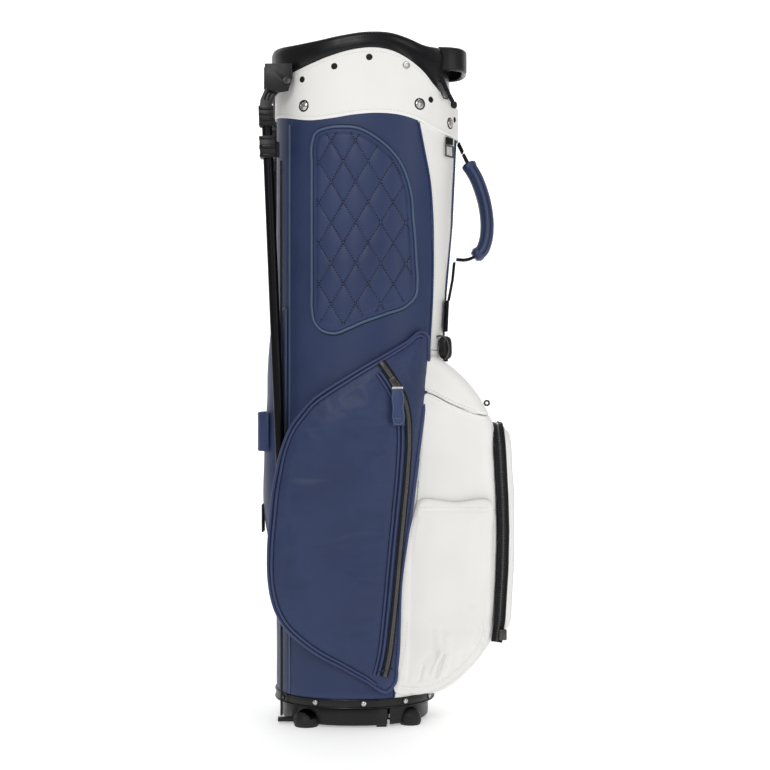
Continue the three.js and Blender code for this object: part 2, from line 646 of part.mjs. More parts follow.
add('ball_pocket_front', common(
  cut(frontBlock(POCKET_HALF - 8, 114, 382, 26), layer(TAPE_DEPTH + GAP, 16)),
  layer(FRONT_DEPTH, 20)), WHITE);

// The side pouches sit low on both flanks of the ball pocket.
const GUSSET = [[10, 40], [17, 74], [20, 113], [20, 141], [22, 180], [28, 229], [36, 268],
  [42, 284], [50, 288], [134, 288], [137, 250], [137, 202], [134, 140], [130, 104], [104, 72],
  [86, 56], [60, 44]];
const gusset = cut(
  slab(GUSSET, -84, -50, 6, 2),
  bodyFront,
  slab(BULGE, -POCKET_HALF - GAP, POCKET_HALF + GAP, 16),
);
const pouch = largest(gusset);
add('gusset_pouch_left', pouch, WHITE);
add('gusset_pouch_right', flipY(pouch), WHITE);

// ---------------------------------------------------------------- carry handle
const HANDLE_WIDTH = 25;
add('handle_tab_upper', strap([vec(97.5, 0, 759.5), vec(101.5, 0, 751.5), vec(103.4, 0, 747)],
  HANDLE_WIDTH, 3, vec(0, 1, 0)), WEBBING);
add('handle_tab_lower', strap([vec(84.6, 0, 550), vec(89.9, 0, 578), vec(92.2, 0, 601)],
  HANDLE_WIDTH, 3, vec(0, 1, 0)), WEBBING);
const GRIP = [[113.4, 727.3], [121, 714], [127, 699], [132, 682], [135, 665], [136, 648], [134, 630],
  [129, 617], [118.6, 608.4]].map(([x, z]) => vec(x, 0, z));
const HANDLE_LINE = [vec(104.3, 0, 745), vec(107.5, 0, 738.5), ...GRIP, vec(108, 0, 604.6),
  vec(95, 0, 605)];
// The webbing narrows towards both of its ends, where it is folded into the tabs.
const webbingTaper = (share) => 1 - 0.3 * Math.max(0, Math.abs(share - 0.5) * 2 - 0.8) / 0.2;
function grip() {
  return loft(GRIP.map((p, i) => {
    const run = GRIP[Math.min(i + 1, GRIP.length - 1)].clone().sub(GRIP[Math.max(i - 1, 0)]);
    const out = vec(-run.z, 0, run.x).normalize();
    const size = i === 0 || i === GRIP.length - 1 ? 0.85 : 1;
    return Array.from({ length: 12 }, (_, k) => {
      const t = k / 12 * 2 * Math.PI;
      return p.clone().addScaledVector(out, 9 * size * Math.cos(t))
        .addScaledVector(vec(0, 1, 0), 15.5 * size * Math.sin(t));
    });
  }));
}
add('handle_webbing', strap(HANDLE_LINE, HANDLE_WIDTH, 3.2, vec(0, 1, 0), webbingTaper), WEBBING);
add('handle_grip', cut(grip(), strap(HANDLE_LINE, HANDLE_WIDTH + 0.8, 4, vec(0, 1, 0))), NAVY);

// ---------------------------------------------------------------- strap rings and their tabs
// A rectangular wire ring in a plane that faces out, centred at the origin.
function wireRing(width, height, wire) {
  const shape = new THREE.Shape([[-1, -1], [1, -1], [1, 1], [-1, 1]]
    .map(([u, v]) => new THREE.Vector2(u * width / 2, v * height / 2)));
  shape.holes.push(new THREE.Path([[-1, -1], [-1, 1], [1, 1], [1, -1]]
    .map(([u, v]) => new THREE.Vector2(u * (width / 2 - wire), v * (height / 2 - wire)))));
  const geometry = new THREE.ExtrudeGeometry(shape, { depth: wire, bevelEnabled: false });
  geometry.translate(0, 0, -wire / 2);
  geometry.rotateX(Math.PI / 2);
  geometry.rotateZ(Math.PI / 2);
  return tidy(geometry);
}
const RING_TURN = THREE.MathUtils.degToRad(-28.6); // the rings face outwards and to the side
const RING_Y = -50;
const RING_Z = 742.5;
function bodyFrontX(y, z) {
  const front = along(FRONT, z);
  const share = Math.min(Math.abs(y) / HALF_WIDTH, 1);
  return (front + REAR) / 2 + (front - REAR) / 2 * (1 - share ** OVAL) ** (1 / OVAL);
}
const ringFace = bodyFrontX(RING_Y, RING_Z) + 3.4;
const strapRing = wireRing(23, 16, 2.2);
strapRing.rotateZ(RING_TURN);
strapRing.translate(ringFace, RING_Y, RING_Z);
add('strap_ring_left', strapRing, GUNMETAL);
add('strap_ring_right', flipY(strapRing), GUNMETAL);
const ringTab = box(-1.2, 1.2, -8.5, 8.5, RING_Z + 8 + 2 * GAP, 760);
ringTab.rotateZ(RING_TURN);
ringTab.translate(ringFace, RING_Y, 0);
add('ring_tab_left', ringTab, WEBBING);
add('ring_tab_right', flipY(ringTab), WEBBING);

// The lower strap runs down beside the spine strip to a D-ring with a moulded lug.
const LOWER_Y = -28;
const strapLine = [549, 530, 508].map((z) => vec(bodyFrontX(LOWER_Y, z) + 5, LOWER_Y, z));
add('lower_strap', strap(strapLine, 20, 2.4, vec(-0.14, 0.99, 0).normalize()), WEBBING);
const LUG_Y = -42;
const LUG_Z = 486;
const lugX = bodyFrontX(LUG_Y, LUG_Z) + 10.5;
const lug = new THREE.CapsuleGeometry(8.5, 14, 3, 12);
lug.rotateX(Math.PI / 2);
lug.rotateY(THREE.MathUtils.degToRad(8));
lug.translate(lugX, LUG_Y, LUG_Z);
const lowerRing = wireRing(28, 26, 2.6);
lowerRing.rotateZ(THREE.MathUtils.degToRad(-26));
lowerRing.translate(lugX - 6.4, LUG_Y - 6, LUG_Z + 3);
add('lower_ring', join(tidy(lug), lowerRing), GUNMETAL);

// ---------------------------------------------------------------- zipper sliders and pulls
const sliderBody = (p, size, tilt, wide) => {
  const geometry = box(-size / 2, size / 2, -wide / 2, wide / 2, -8, 8);
  geometry.rotateY(tilt);
  geometry.translate(p.x, p.y, p.z);
  return geometry;
};
const SIDE_SLIDER = vec(12, -pocketY(12, 441) - 21.2, 441);
const sideSlider = sliderBody(SIDE_SLIDER, 9, THREE.MathUtils.degToRad(-32), 3.4);
add('side_zip_slider_left', sideSlider, GUNMETAL);
add('side_zip_slider_right', flipY(sideSlider), GUNMETAL);
const sidePull = strap([vec(15.5, SIDE_SLIDER.y - 4.6, 434), vec(17.5, SIDE_SLIDER.y - 4.8, 387)], 3, 15,
  vec(0, 1, 0));
add('side_zip_pull_left', sidePull, NAVY);
add('side_zip_pull_right', flipY(sidePull), NAVY);
const BALL_SLIDER = vec(152, -POCKET_HALF - 0.2, 116);
add('ball_zip_slider', box(BALL_SLIDER.x - 5, BALL_SLIDER.x + 5, BALL_SLIDER.y, BALL_SLIDER.y + 5,
  BALL_SLIDER.z - 7, BALL_SLIDER.z + 7), PLASTIC);
add('top_pull', box(130.5, 141, -5, 5, 411, 416), RUBBER);

export default bag;
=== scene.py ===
"""The look of the golf stand bag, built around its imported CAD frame.

Lengths here are millimetres until a mesh is made. The bag stands on the floor with +Z up, its ball
pocket towards +X and its folded legs along -X. "left" pieces are on the -Y side, the near one.
"""
import json
import math

import bmesh
import bpy
import numpy as np
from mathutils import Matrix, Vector
from mathutils.geometry import delaunay_2d_cdt

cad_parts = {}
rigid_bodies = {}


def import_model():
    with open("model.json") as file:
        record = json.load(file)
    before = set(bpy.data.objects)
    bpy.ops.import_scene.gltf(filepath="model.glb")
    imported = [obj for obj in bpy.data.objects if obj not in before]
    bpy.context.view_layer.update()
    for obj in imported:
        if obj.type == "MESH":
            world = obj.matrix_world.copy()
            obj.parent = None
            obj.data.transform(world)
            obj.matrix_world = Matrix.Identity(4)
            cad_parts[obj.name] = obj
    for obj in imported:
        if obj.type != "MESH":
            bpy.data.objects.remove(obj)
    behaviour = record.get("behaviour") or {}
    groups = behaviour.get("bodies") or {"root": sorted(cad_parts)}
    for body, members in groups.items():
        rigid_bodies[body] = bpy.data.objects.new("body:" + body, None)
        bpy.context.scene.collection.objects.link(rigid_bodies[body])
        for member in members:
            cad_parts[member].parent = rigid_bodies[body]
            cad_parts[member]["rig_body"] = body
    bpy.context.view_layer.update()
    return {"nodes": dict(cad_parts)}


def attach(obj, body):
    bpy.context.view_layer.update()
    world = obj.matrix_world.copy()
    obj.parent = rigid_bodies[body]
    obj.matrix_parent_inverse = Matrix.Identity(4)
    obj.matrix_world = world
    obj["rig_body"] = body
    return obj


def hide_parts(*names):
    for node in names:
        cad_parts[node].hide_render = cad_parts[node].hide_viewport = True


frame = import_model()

MM = 0.001

# ---------------------------------------------------------------- driving dimensions
# These are the CAD's own numbers, except that PAD_OUTLINE, POCKET_OUTLINE, BULGE, GUSSET and
# POCKET_SEAM have some points added or moved, and that SIDE_ZIP, the side zipper's line, is only here.
REAR = -144.0
HALF_WIDTH = 103.0
OVAL = 2.2
WALL = 2.5
PANEL_LOW = 38.4
BACK_SEAM = -123.0
CUFF_OUT = 2.0
RIM_FRONT, RIM_REAR, RIM_WALL, COLLAR_LOW = 82.0, -147.0, 8.0, 796.0
POCKET_HALF = 74.0
FRONT = [(0, 64), (36, 64), (250, 69), (450, 75), (560, 80), (650, 88), (760, 93), (900, 94)]
CUFF_LOW = [(-146, 790), (-127, 784), (-97, 777), (-67, 778), (-38, 782), (-9, 784), (20, 782),
            (40, 777), (59, 769), (80, 762), (104, 761)]
CUFF_TOP = [(-146, 838), (-115, 842), (-97, 848), (-67, 858), (-38, 865), (-12, 867), (10, 863),
            (29, 854), (50, 838), (63, 823), (86, 804), (104, 801)]
RIM_TOP = [(-150, 879), (-118, 876), (-88, 878), (-58, 883), (-19, 888), (10, 887), (30, 882),
           (50, 876), (84, 879)]
NAVY_EDGE = [(36, 11), (108, 20), (136, 19), (184, 22), (270, 34), (346, 44), (398, 51), (430, 55),
             (495, 58), (546, 61), (609, 62), (660, 61), (705, 57), (736, 51), (800, 38)]
PAD_OUTLINE = [(-92, 534), (-92.3, 560), (-92.4, 600), (-92.4, 640), (-92.4, 680), (-92.3, 720),
               (-92, 746), (-87, 760), (-72, 765.5), (-54, 766.5), (-37, 765), (-22, 759), (-8, 750),
               (6, 738), (18, 723), (27, 703), (33, 678), (35, 650), (37, 630), (38.5, 600), (40, 570),
               (38, 553), (26, 539), (-1, 528), (-28, 518), (-46, 510), (-63, 504), (-80, 508),
               (-89, 519)]
POCKET_OUTLINE = [(51, 505), (26, 491), (1, 476), (-32, 457), (-50, 446), (-71, 433), (-92, 418),
                  (-106, 402), (-118, 386), (-126, 369), (-132, 351), (-137, 328), (-141, 307),
                  (-145, 270), (-148, 223), (-147, 188), (-144, 169), (-138, 150), (-127, 131),
                  (-112, 116), (-98, 105), (-83, 95), (-54, 80), (-25, 64), (4, 49), (11, 56),
                  (15, 85), (17, 110), (20, 184), (32, 270), (42, 346), (49, 398), (53, 430),
                  (56, 490), (55, 501)]
SIDE_ZIP = [(-5, 467), (12, 442), (23, 422), (28.5, 400), (30, 376), (28, 328), (23, 274),
            (18, 223), (11, 148), (4, 91), (-1, 69)]
BULGE = [(30, 39), (66, 39), (90, 51), (110, 70), (128, 91), (137, 106), (141, 136), (145, 202),
         (146, 250), (145, 290), (142, 350), (139, 391), (133, 404), (126, 417), (78, 468),
         (40, 486)]
POCKET_SEAM = [(20, 434), (58, 427), (86, 413), (121, 400), (150, 396)]
GUSSET = [(13, 46), (17, 74), (20, 113), (20, 141), (22, 180), (28, 229), (36, 268), (42, 287),
          (90, 288), (137, 288), (138, 250), (137, 202), (135, 140), (131, 106), (124, 94),
          (104, 72), (86, 57), (60, 44), (36, 40)]
HIP = [(185, 0), (225, 8), (276, 15), (311, 16), (349, 15), (418, 11), (455, 10), (497, 7), (540, 0)]
GRIP = [(113.4, 727.3), (121, 714), (127, 699), (132, 682), (135, 665), (136, 648), (134, 630),
        (129, 617), (118.6, 608.4)]
LEG_TOP = np.array([-153.0, -72.5, 792.0])
LEG_END = np.array([-130.0, -76.0, 240.0])
SIDES = {"left": 1, "right": -1}  # the far side mirrors the near one in Y


# ---------------------------------------------------------------- curves and the body's surface
def unit(v):
    v = np.asarray(v, float)
    return v / np.maximum(np.linalg.norm(v, axis=-1, keepdims=True), 1e-12)


def flow(points, spacing=2.0, closed=False):
    """A smooth curve through points, with a point every spacing."""
    p = np.asarray(points, float)
    if closed:
        p = np.vstack([p[-2:], p, p[:3]])
    h = np.linalg.norm(np.diff(p, axis=0), axis=1)
    slope = np.diff(p, axis=0) / h[:, None]
    inner = (slope[:-1] * h[1:, None] + slope[1:] * h[:-1, None]) / (h[1:] + h[:-1])[:, None]
    tangent = np.vstack([slope[:1], inner, slope[-1:]])
    s = np.concatenate([[0], np.cumsum(h)])
    first, last = (2, len(p) - 3) if closed else (0, len(p) - 1)
    fine = np.linspace(s[first], s[last], int((s[last] - s[first]) * 2) + 8)
    i = np.clip(np.searchsorted(s, fine, side="right") - 1, 0, len(h) - 1)
    u, size = ((fine - s[i]) / h[i])[:, None], h[i][:, None]
    q = ((2 * u**3 - 3 * u**2 + 1) * p[i] + (u**3 - 2 * u**2 + u) * size * tangent[i]
         + (3 * u**2 - 2 * u**3) * p[i + 1] + (u**3 - u**2) * size * tangent[i + 1])
    d = np.concatenate([[0], np.cumsum(np.linalg.norm(np.diff(q, axis=0), axis=1))])
    even = np.linspace(0, d[-1], max(int(round(d[-1] / spacing)), 3) + 1)
    even = even[:-1] if closed else even
    return np.stack([np.interp(even, d, q[:, k]) for k in range(q.shape[1])], axis=1)


def evenly(points, spacing):
    """Points every spacing along the straight sides of a closed outline."""
    p = np.vstack([points, points[:1]])
    d = np.concatenate([[0], np.cumsum(np.linalg.norm(np.diff(p, axis=0), axis=1))])
    at = np.linspace(0, d[-1], int(d[-1] / spacing))[:-1]
    return np.stack([np.interp(at, d, p[:, k]) for k in range(p.shape[1])], axis=1)


def table(points):
    """A smooth function of the first value of each pair."""
    fine = flow(points, 1.0)
    return lambda x: np.interp(x, fine[:, 0], fine[:, 1])


front_x = lambda z: np.interp(z, *np.array(FRONT, float).T)
cuff_low, cuff_top, rim_top = table(CUFF_LOW), table(CUFF_TOP), table(RIM_TOP)
navy_edge, hip_depth = table(NAVY_EDGE), table(HIP)


def middle_x(z):
    return (front_x(z) + REAR) / 2


def half_x(z):
    return (front_x(z) - REAR) / 2


def half_y(x, z):
    share = np.clip(np.abs(x - middle_x(z)) / half_x(z), 0, 1)
    return HALF_WIDTH * (1 - share**OVAL) ** (1 / OVAL)


def nose_x(y, z):
    """X of the body's front face."""
    share = np.clip(np.abs(y) / HALF_WIDTH, 0, 1)
    return middle_x(z) + half_x(z) * (1 - share**OVAL) ** (1 / OVAL)


def oval(t, z, grow=0.0, front=None, rear=REAR):
    """Points of the body's oval; t turns from +X towards +Y."""
    t, z = np.broadcast_arrays(np.asarray(t, float), np.asarray(z, float))
    front = front_x(z) if front is None else front
    c, s = np.cos(t), np.sin(t)
    x = (front + rear) / 2 + ((front - rear) / 2 + grow) * np.sign(c) * np.abs(c) ** (2 / OVAL)
    y = (HALF_WIDTH + grow) * np.sign(s) * np.abs(s) ** (2 / OVAL)
    return np.stack([x, y, z], axis=-1)


def angle_at(x, z):
    """The angle at which the near side of the oval reaches x."""
    share = np.clip((x - middle_x(z)) / half_x(z), -1, 1)
    return -np.arccos(np.sign(share) * np.abs(share) ** (OVAL / 2))


def side_normal(x, z):
    """The near side's outward direction at (x, z)."""
    x, z = np.broadcast_arrays(np.asarray(x, float), np.asarray(z, float))
    share = np.clip((x - middle_x(z)) / half_x(z), -0.999, 0.999)
    nx = np.sign(share) * np.abs(share) ** (OVAL - 1) / half_x(z)
    ny = -(half_y(x, z) / HALF_WIDTH) ** (OVAL - 1) / HALF_WIDTH
    return unit(np.stack([nx, ny, np.zeros_like(nx)], axis=-1))


def on_side(x, z, off=0.0):
    """A point that stands off the near side of the body."""
    x, z = np.broadcast_arrays(np.asarray(x, float), np.asarray(z, float))
    base = np.stack([x, -half_y(x, z), z], axis=-1)
    return base + side_normal(x, z) * np.asarray(off)[..., None]


def pocket_y(x, z):
    """Half-width that the side pocket is sewn to: it runs past the body's rounded rear corner."""
    behind = HALF_WIDTH - 7 * (np.maximum(middle_x(z) - x, 0) / 109) ** 2
    return np.where(x > middle_x(z), half_y(x, z), behind)


def ripple(p, seed, size, depth):
    """Smooth unevenness of hand-sewn panels: a few waves of about that size and depth."""
    rng = np.random.default_rng(seed)
    total = np.zeros(p.shape[:-1])
    for _ in range(7):
        k = unit(rng.normal(size=3)) * 2 * math.pi / (size * rng.uniform(0.7, 1.7))
        total += np.sin(p @ k + rng.uniform(0, 6.3))
    return total * depth / 2.6


def distance_to(points, line, closed=True):
    """Distance of 2-D points to a line of points, and how far along the line that is."""
    a = np.asarray(line, float)
    b = np.roll(a, -1, axis=0) if closed else a[1:]
    a = a if closed else a[:-1]
    best = np.full(len(points), 1e9)
    for start in range(0, len(a), 64):
        u, v = a[start:start + 64], b[start:start + 64]
        w = v - u
        t = np.clip(((points[:, None] - u) * w).sum(-1) / np.maximum((w * w).sum(-1), 1e-9), 0, 1)
        d = np.linalg.norm(points[:, None] - (u + t[..., None] * w), axis=-1)
        best = np.minimum(best, d.min(1))
    return best


def inside_outline(p, outline):
    """Which of the 2-D points lie inside a closed outline."""
    a, b = outline, np.roll(outline, -1, axis=0)
    crossing = (a[:, 1] > p[:, None, 1]) != (b[:, 1] > p[:, None, 1])
    rise = np.where(b[:, 1] == a[:, 1], 1e-9, b[:, 1] - a[:, 1])
    at = (b[:, 0] - a[:, 0]) * (p[:, None, 1] - a[:, 1]) / rise + a[:, 0]
    return (crossing & (p[:, None, 0] < at)).sum(1) % 2 == 1


def upright(p):
    """2-D points (x, z) as 3-D points on the bag's middle plane."""
    return np.stack([p[:, 0], np.zeros(len(p)), p[:, 1]], -1)


def edge_turn(d, radius):
    """How far a rounded rim has dropped at distance d in from its edge."""
    return radius - np.sqrt(np.maximum(radius**2 - (radius - np.minimum(d, radius)) ** 2, 0))


# ---------------------------------------------------------------- meshes
def grid_faces(rows, cols, wrap_rows=False, wrap_cols=False, base=0, flip=False):
    i, j = np.meshgrid(np.arange(rows if wrap_rows else rows - 1),
                       np.arange(cols if wrap_cols else cols - 1), indexing="ij")
    i2, j2 = (i + 1) % rows, (j + 1) % cols
    quads = np.stack([i * cols + j, i * cols + j2, i2 * cols + j2, i2 * cols + j], -1).reshape(-1, 4)
    return (quads[:, ::-1] if flip else quads) + base


def tidy(parts):
    """Joins (vertices, faces) pairs into one pair."""
    points, faces, base = [], [], 0
    for p, f in parts:
        p = np.asarray(p, float).reshape(-1, 3)
        points.append(p)
        faces.extend((np.asarray(g) + base).tolist() for g in f)
        base += len(p)
    return np.vstack(points), faces


def flipped(part):
    points, faces = part
    return points * [1, -1, 1], [list(f)[::-1] for f in faces]


def plate(outer, inner, wrap=False):
    """A closed sheet between two grids of points; wrap joins its last column to its first."""
    r, c = outer.shape[:2]
    n = r * c
    faces = [grid_faces(r, c, wrap_cols=wrap), grid_faces(r, c, wrap_cols=wrap, base=n, flip=True)]
    columns = np.arange(c)
    a, b = (columns, np.roll(columns, -1)) if wrap else (columns[:-1], columns[1:])
    faces.append(np.stack([b, a, a + n, b + n], -1))
    low = (r - 1) * c
    faces.append(np.stack([a + low, b + low, b + low + n, a + low + n], -1))
    if not wrap:
        rows = np.arange(r - 1) * c
        faces.append(np.stack([rows, rows + c, rows + c + n, rows + n], -1))
        e = rows + c - 1
        faces.append(np.stack([e + c, e, e + n, e + c + n], -1))
    return np.vstack([outer.reshape(-1, 3), inner.reshape(-1, 3)]), np.vstack(faces)


def sweep(path, section, up, closed=False, scale=None):
    """A section of (across, up) points carried along a path, capped at its ends."""
    path = np.asarray(path, float)
    if closed:
        run = unit(np.roll(path, -1, axis=0) - np.roll(path, 1, axis=0))
    else:
        run = unit(np.gradient(path, axis=0))
    up = np.broadcast_to(np.asarray(up, float), path.shape)
    across = unit(np.cross(run, up))
    top = np.cross(across, run)
    section = np.asarray(section, float)
    k = np.ones((len(path), 2)) if scale is None else np.asarray(scale, float).reshape(len(path), -1)
    k = np.broadcast_to(k, (len(path), 2)) if k.shape[1] == 1 else k
    points = (path[:, None] + across[:, None] * (section[:, 0] * k[:, :1])[..., None]
              + top[:, None] * (section[:, 1] * k[:, 1:])[..., None])
    faces = list(grid_faces(*points.shape[:2], wrap_rows=closed, wrap_cols=True))
    if not closed:
        n = len(section)
        faces += [np.arange(n)[::-1], np.arange(n) + (len(path) - 1) * n]
    return points.reshape(-1, 3), faces


def circle(radius, sides=12, high=None):
    t = np.arange(sides) / sides * 2 * math.pi
    return np.stack([radius * np.cos(t), (high or radius) * np.sin(t)], -1)


def rounded(width, height, radius, steps=4):
    """A rounded rectangle about the origin."""
    points = []
    for k, (u, v) in enumerate([(1, 1), (-1, 1), (-1, -1), (1, -1)]):
        t = (k + np.arange(steps + 1) / steps) * math.pi / 2
        centre = np.array([u * (width / 2 - radius), v * (height / 2 - radius)])
        points.append(centre + radius * np.stack([np.cos(t), np.sin(t)], -1))
    return np.vstack(points)


def domed(count, share):
    """A scale along a path that rounds both of its ends over that share of its length."""
    u = np.linspace(0, 1, count)
    end = np.clip(np.minimum(u, 1 - u) / share, 0, 1)
    return np.sqrt(np.clip(1 - (1 - end) ** 2, 0.02, 1))


def lathe(profile, centre, axis, sides=32):
    """A profile of (radius, height) points turned about an axis; its ends are on the axis."""
    axis = unit(axis)
    u = unit(np.cross(axis, [0.31, 0.9, 0.2]))
    v = np.cross(axis, u)
    t = np.arange(sides) / sides * 2 * math.pi
    ring = np.cos(t)[:, None] * u + np.sin(t)[:, None] * v
    profile = np.asarray(profile, float)
    body = profile[1:-1]
    points = centre + body[:, :1, None] * ring + body[:, 1:, None] * axis
    ends = np.stack([centre + profile[0, 1] * axis, centre + profile[-1, 1] * axis])
    n, m = len(body), sides
    faces = list(grid_faces(n, m, wrap_cols=True))
    k = np.arange(m)
    faces += np.stack([np.full(m, n * m), np.roll(k, -1), k], -1).tolist()
    k = k + (n - 1) * m
    faces += np.stack([np.full(m, n * m + 1), k, np.roll(k, -1)], -1).tolist()
    return np.vstack([points.reshape(-1, 3), ends]), faces


def fill(outline, spacing):
    """Triangles inside an outline of 2-D points, on an even lattice."""
    outline = np.asarray(outline, float)
    low, high = outline.min(0), outline.max(0)
    rows = np.arange(low[1], high[1], spacing * 0.866)
    xs = np.arange(low[0], high[0], spacing)
    lattice = np.array([(x + (i % 2) * spacing / 2, z) for i, z in enumerate(rows) for x in xs])
    lattice = lattice[inside_outline(lattice, outline)]
    lattice = lattice[distance_to(lattice, outline) > spacing * 0.55]
    n = len(outline)
    points = [Vector(p) for p in outline] + [Vector(p) for p in lattice]
    edges = [(i, (i + 1) % n) for i in range(n)]
    verts, _, faces, _, _, _ = delaunay_2d_cdt(points, edges, [], 1, 1e-4)
    return np.array([tuple(v) for v in verts]), [list(f) for f in faces], n


def cushion(outline, spacing, face, back):
    """A closed soft form over an outline: face and back turn (x, z) and edge distance into points."""
    flat, faces, n = fill(outline, spacing)
    d = distance_to(flat, outline)
    top, under = face(flat, d), back(flat, d)
    m = len(flat)
    tops = [f[::-1] for f in faces]
    unders = [[i + m for i in f] for f in faces]
    rim = [[i, (i + 1) % n, (i + 1) % n + m, i + m] for i in range(n)]
    return np.vstack([top, under]), tops + unders + rim


def facing_out(points, faces):
    """Turns a closed mesh so that its faces point out."""
    p = points
    volume = 0.0
    for f in faces:
        for k in range(1, len(f) - 1):
            volume += p[f[0]] @ np.cross(p[f[k]], p[f[k + 1]])
    return [list(f)[::-1] for f in faces] if volume < 0 else [list(f) for f in faces]


def make(name, part, material, body="bag", slot=None, replaces=(), angle=40, check=True):
    """One piece of the object, from millimetres to a mesh that rides on its body."""
    points, faces = part
    points = np.asarray(points, float)
    faces = facing_out(points, faces) if check else [list(f) for f in faces]
    mesh = bpy.data.meshes.new(name)
    mesh.from_pydata((points * MM).tolist(), [], faces)
    mesh.validate()
    mesh.materials.append(material)
    mesh.shade_smooth()
    if angle:
        mesh.set_sharp_from_angle(angle=math.radians(angle))
    obj = bpy.data.objects.new(name, mesh)
    bpy.context.scene.collection.objects.link(obj)
    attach(obj, body)
    if replaces:
        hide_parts(*([replaces] if isinstance(replaces, str) else replaces))
    return obj


def both(name, part, material, slot=None, replaces=None, body="bag", **more):
    """The near piece and its mirror image on the far side."""
    made = []
    for side, turn in SIDES.items():
        this = part if turn > 0 else flipped(part)
        node = f"{replaces}_{side}" if replaces else ()
        where = body if body == "bag" or body == "base_foot" else f"{body}_{side}"
        made.append(make(f"{name}_{side}", this, material, where, slot, node, **more))
    return made


def stitch_row(path, up, pitch=4.2, length=2.7, radius=0.42, lift=0.15, tilt=0.0):
    """Short threads laid along a path; up is the surface's direction at each point of it."""
    path = np.asarray(path, float)
    up = np.broadcast_to(np.asarray(up, float), path.shape)
    d = np.concatenate([[0], np.cumsum(np.linalg.norm(np.diff(path, axis=0), axis=1))])
    count = max(int(d[-1] / pitch), 1)
    at = (np.arange(count) + 0.5) * d[-1] / count
    place = lambda s, a: np.stack([np.interp(s, d, a[:, k]) for k in range(3)], -1)
    centre = place(at, path)
    run = unit(place(np.minimum(at + 0.5, d[-1]), path) - place(np.maximum(at - 0.5, 0), path))
    top = unit(place(at, up))
    across = unit(np.cross(run, top))
    run = unit(run + across * tilt)
    across = np.cross(run, top)
    ring = np.arange(6) / 6 * 2 * math.pi
    bead = [(-1.0, 0.35), (-0.72, 0.85), (0.0, 1.0), (0.72, 0.85), (1.0, 0.35)]
    parts = []
    for along, r in bead:
        drop = lift - 0.35 * along**2
        c = centre + run * along * length / 2 + top * drop
        parts.append(c[:, None] + (across[:, None] * np.cos(ring)[None, :, None]
                                   + top[:, None] * np.sin(ring)[None, :, None]) * radius * r)
    points = np.stack(parts, 1).reshape(count, -1, 3)
    faces = [f.tolist() for f in grid_faces(5, 6, wrap_cols=True)]
    faces += [list(range(6))[::-1], list(range(24, 30))]
    every = [[i + 30 * k for i in f] for k in range(count) for f in faces]
    return points.reshape(-1, 3), every


def refine(node, material, width=0.5, name=None, segments=2):
    """A hard CAD piece with its edges softened; it stands for the CAD node."""
    source = frame["nodes"][node]
    bm = bmesh.new()
    bm.from_mesh(source.data)
    bmesh.ops.remove_doubles(bm, verts=bm.verts, dist=2e-6)
    bmesh.ops.dissolve_limit(bm, angle_limit=math.radians(1), verts=bm.verts, edges=bm.edges)
    edges = [e for e in bm.edges if len(e.link_faces) == 2
             and e.calc_face_angle(0) > math.radians(32)]
    if width and edges:
        bmesh.ops.bevel(bm, geom=edges, offset=width * MM, offset_type="OFFSET",
                        segments=segments, profile=0.5, affect="EDGES", clamp_overlap=True)
    bmesh.ops.recalc_face_normals(bm, faces=bm.faces)
    mesh = bpy.data.meshes.new(name or f"{node}_fine")
    bm.to_mesh(mesh)
    bm.free()
    mesh.materials.clear()
    mesh.materials.append(material)
    mesh.shade_smooth()
    mesh.set_sharp_from_angle(angle=math.radians(35))
    obj = bpy.data.objects.new(mesh.name, mesh)
    bpy.context.scene.collection.objects.link(obj)
    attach(obj, source["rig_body"])
    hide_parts(node)
    return obj


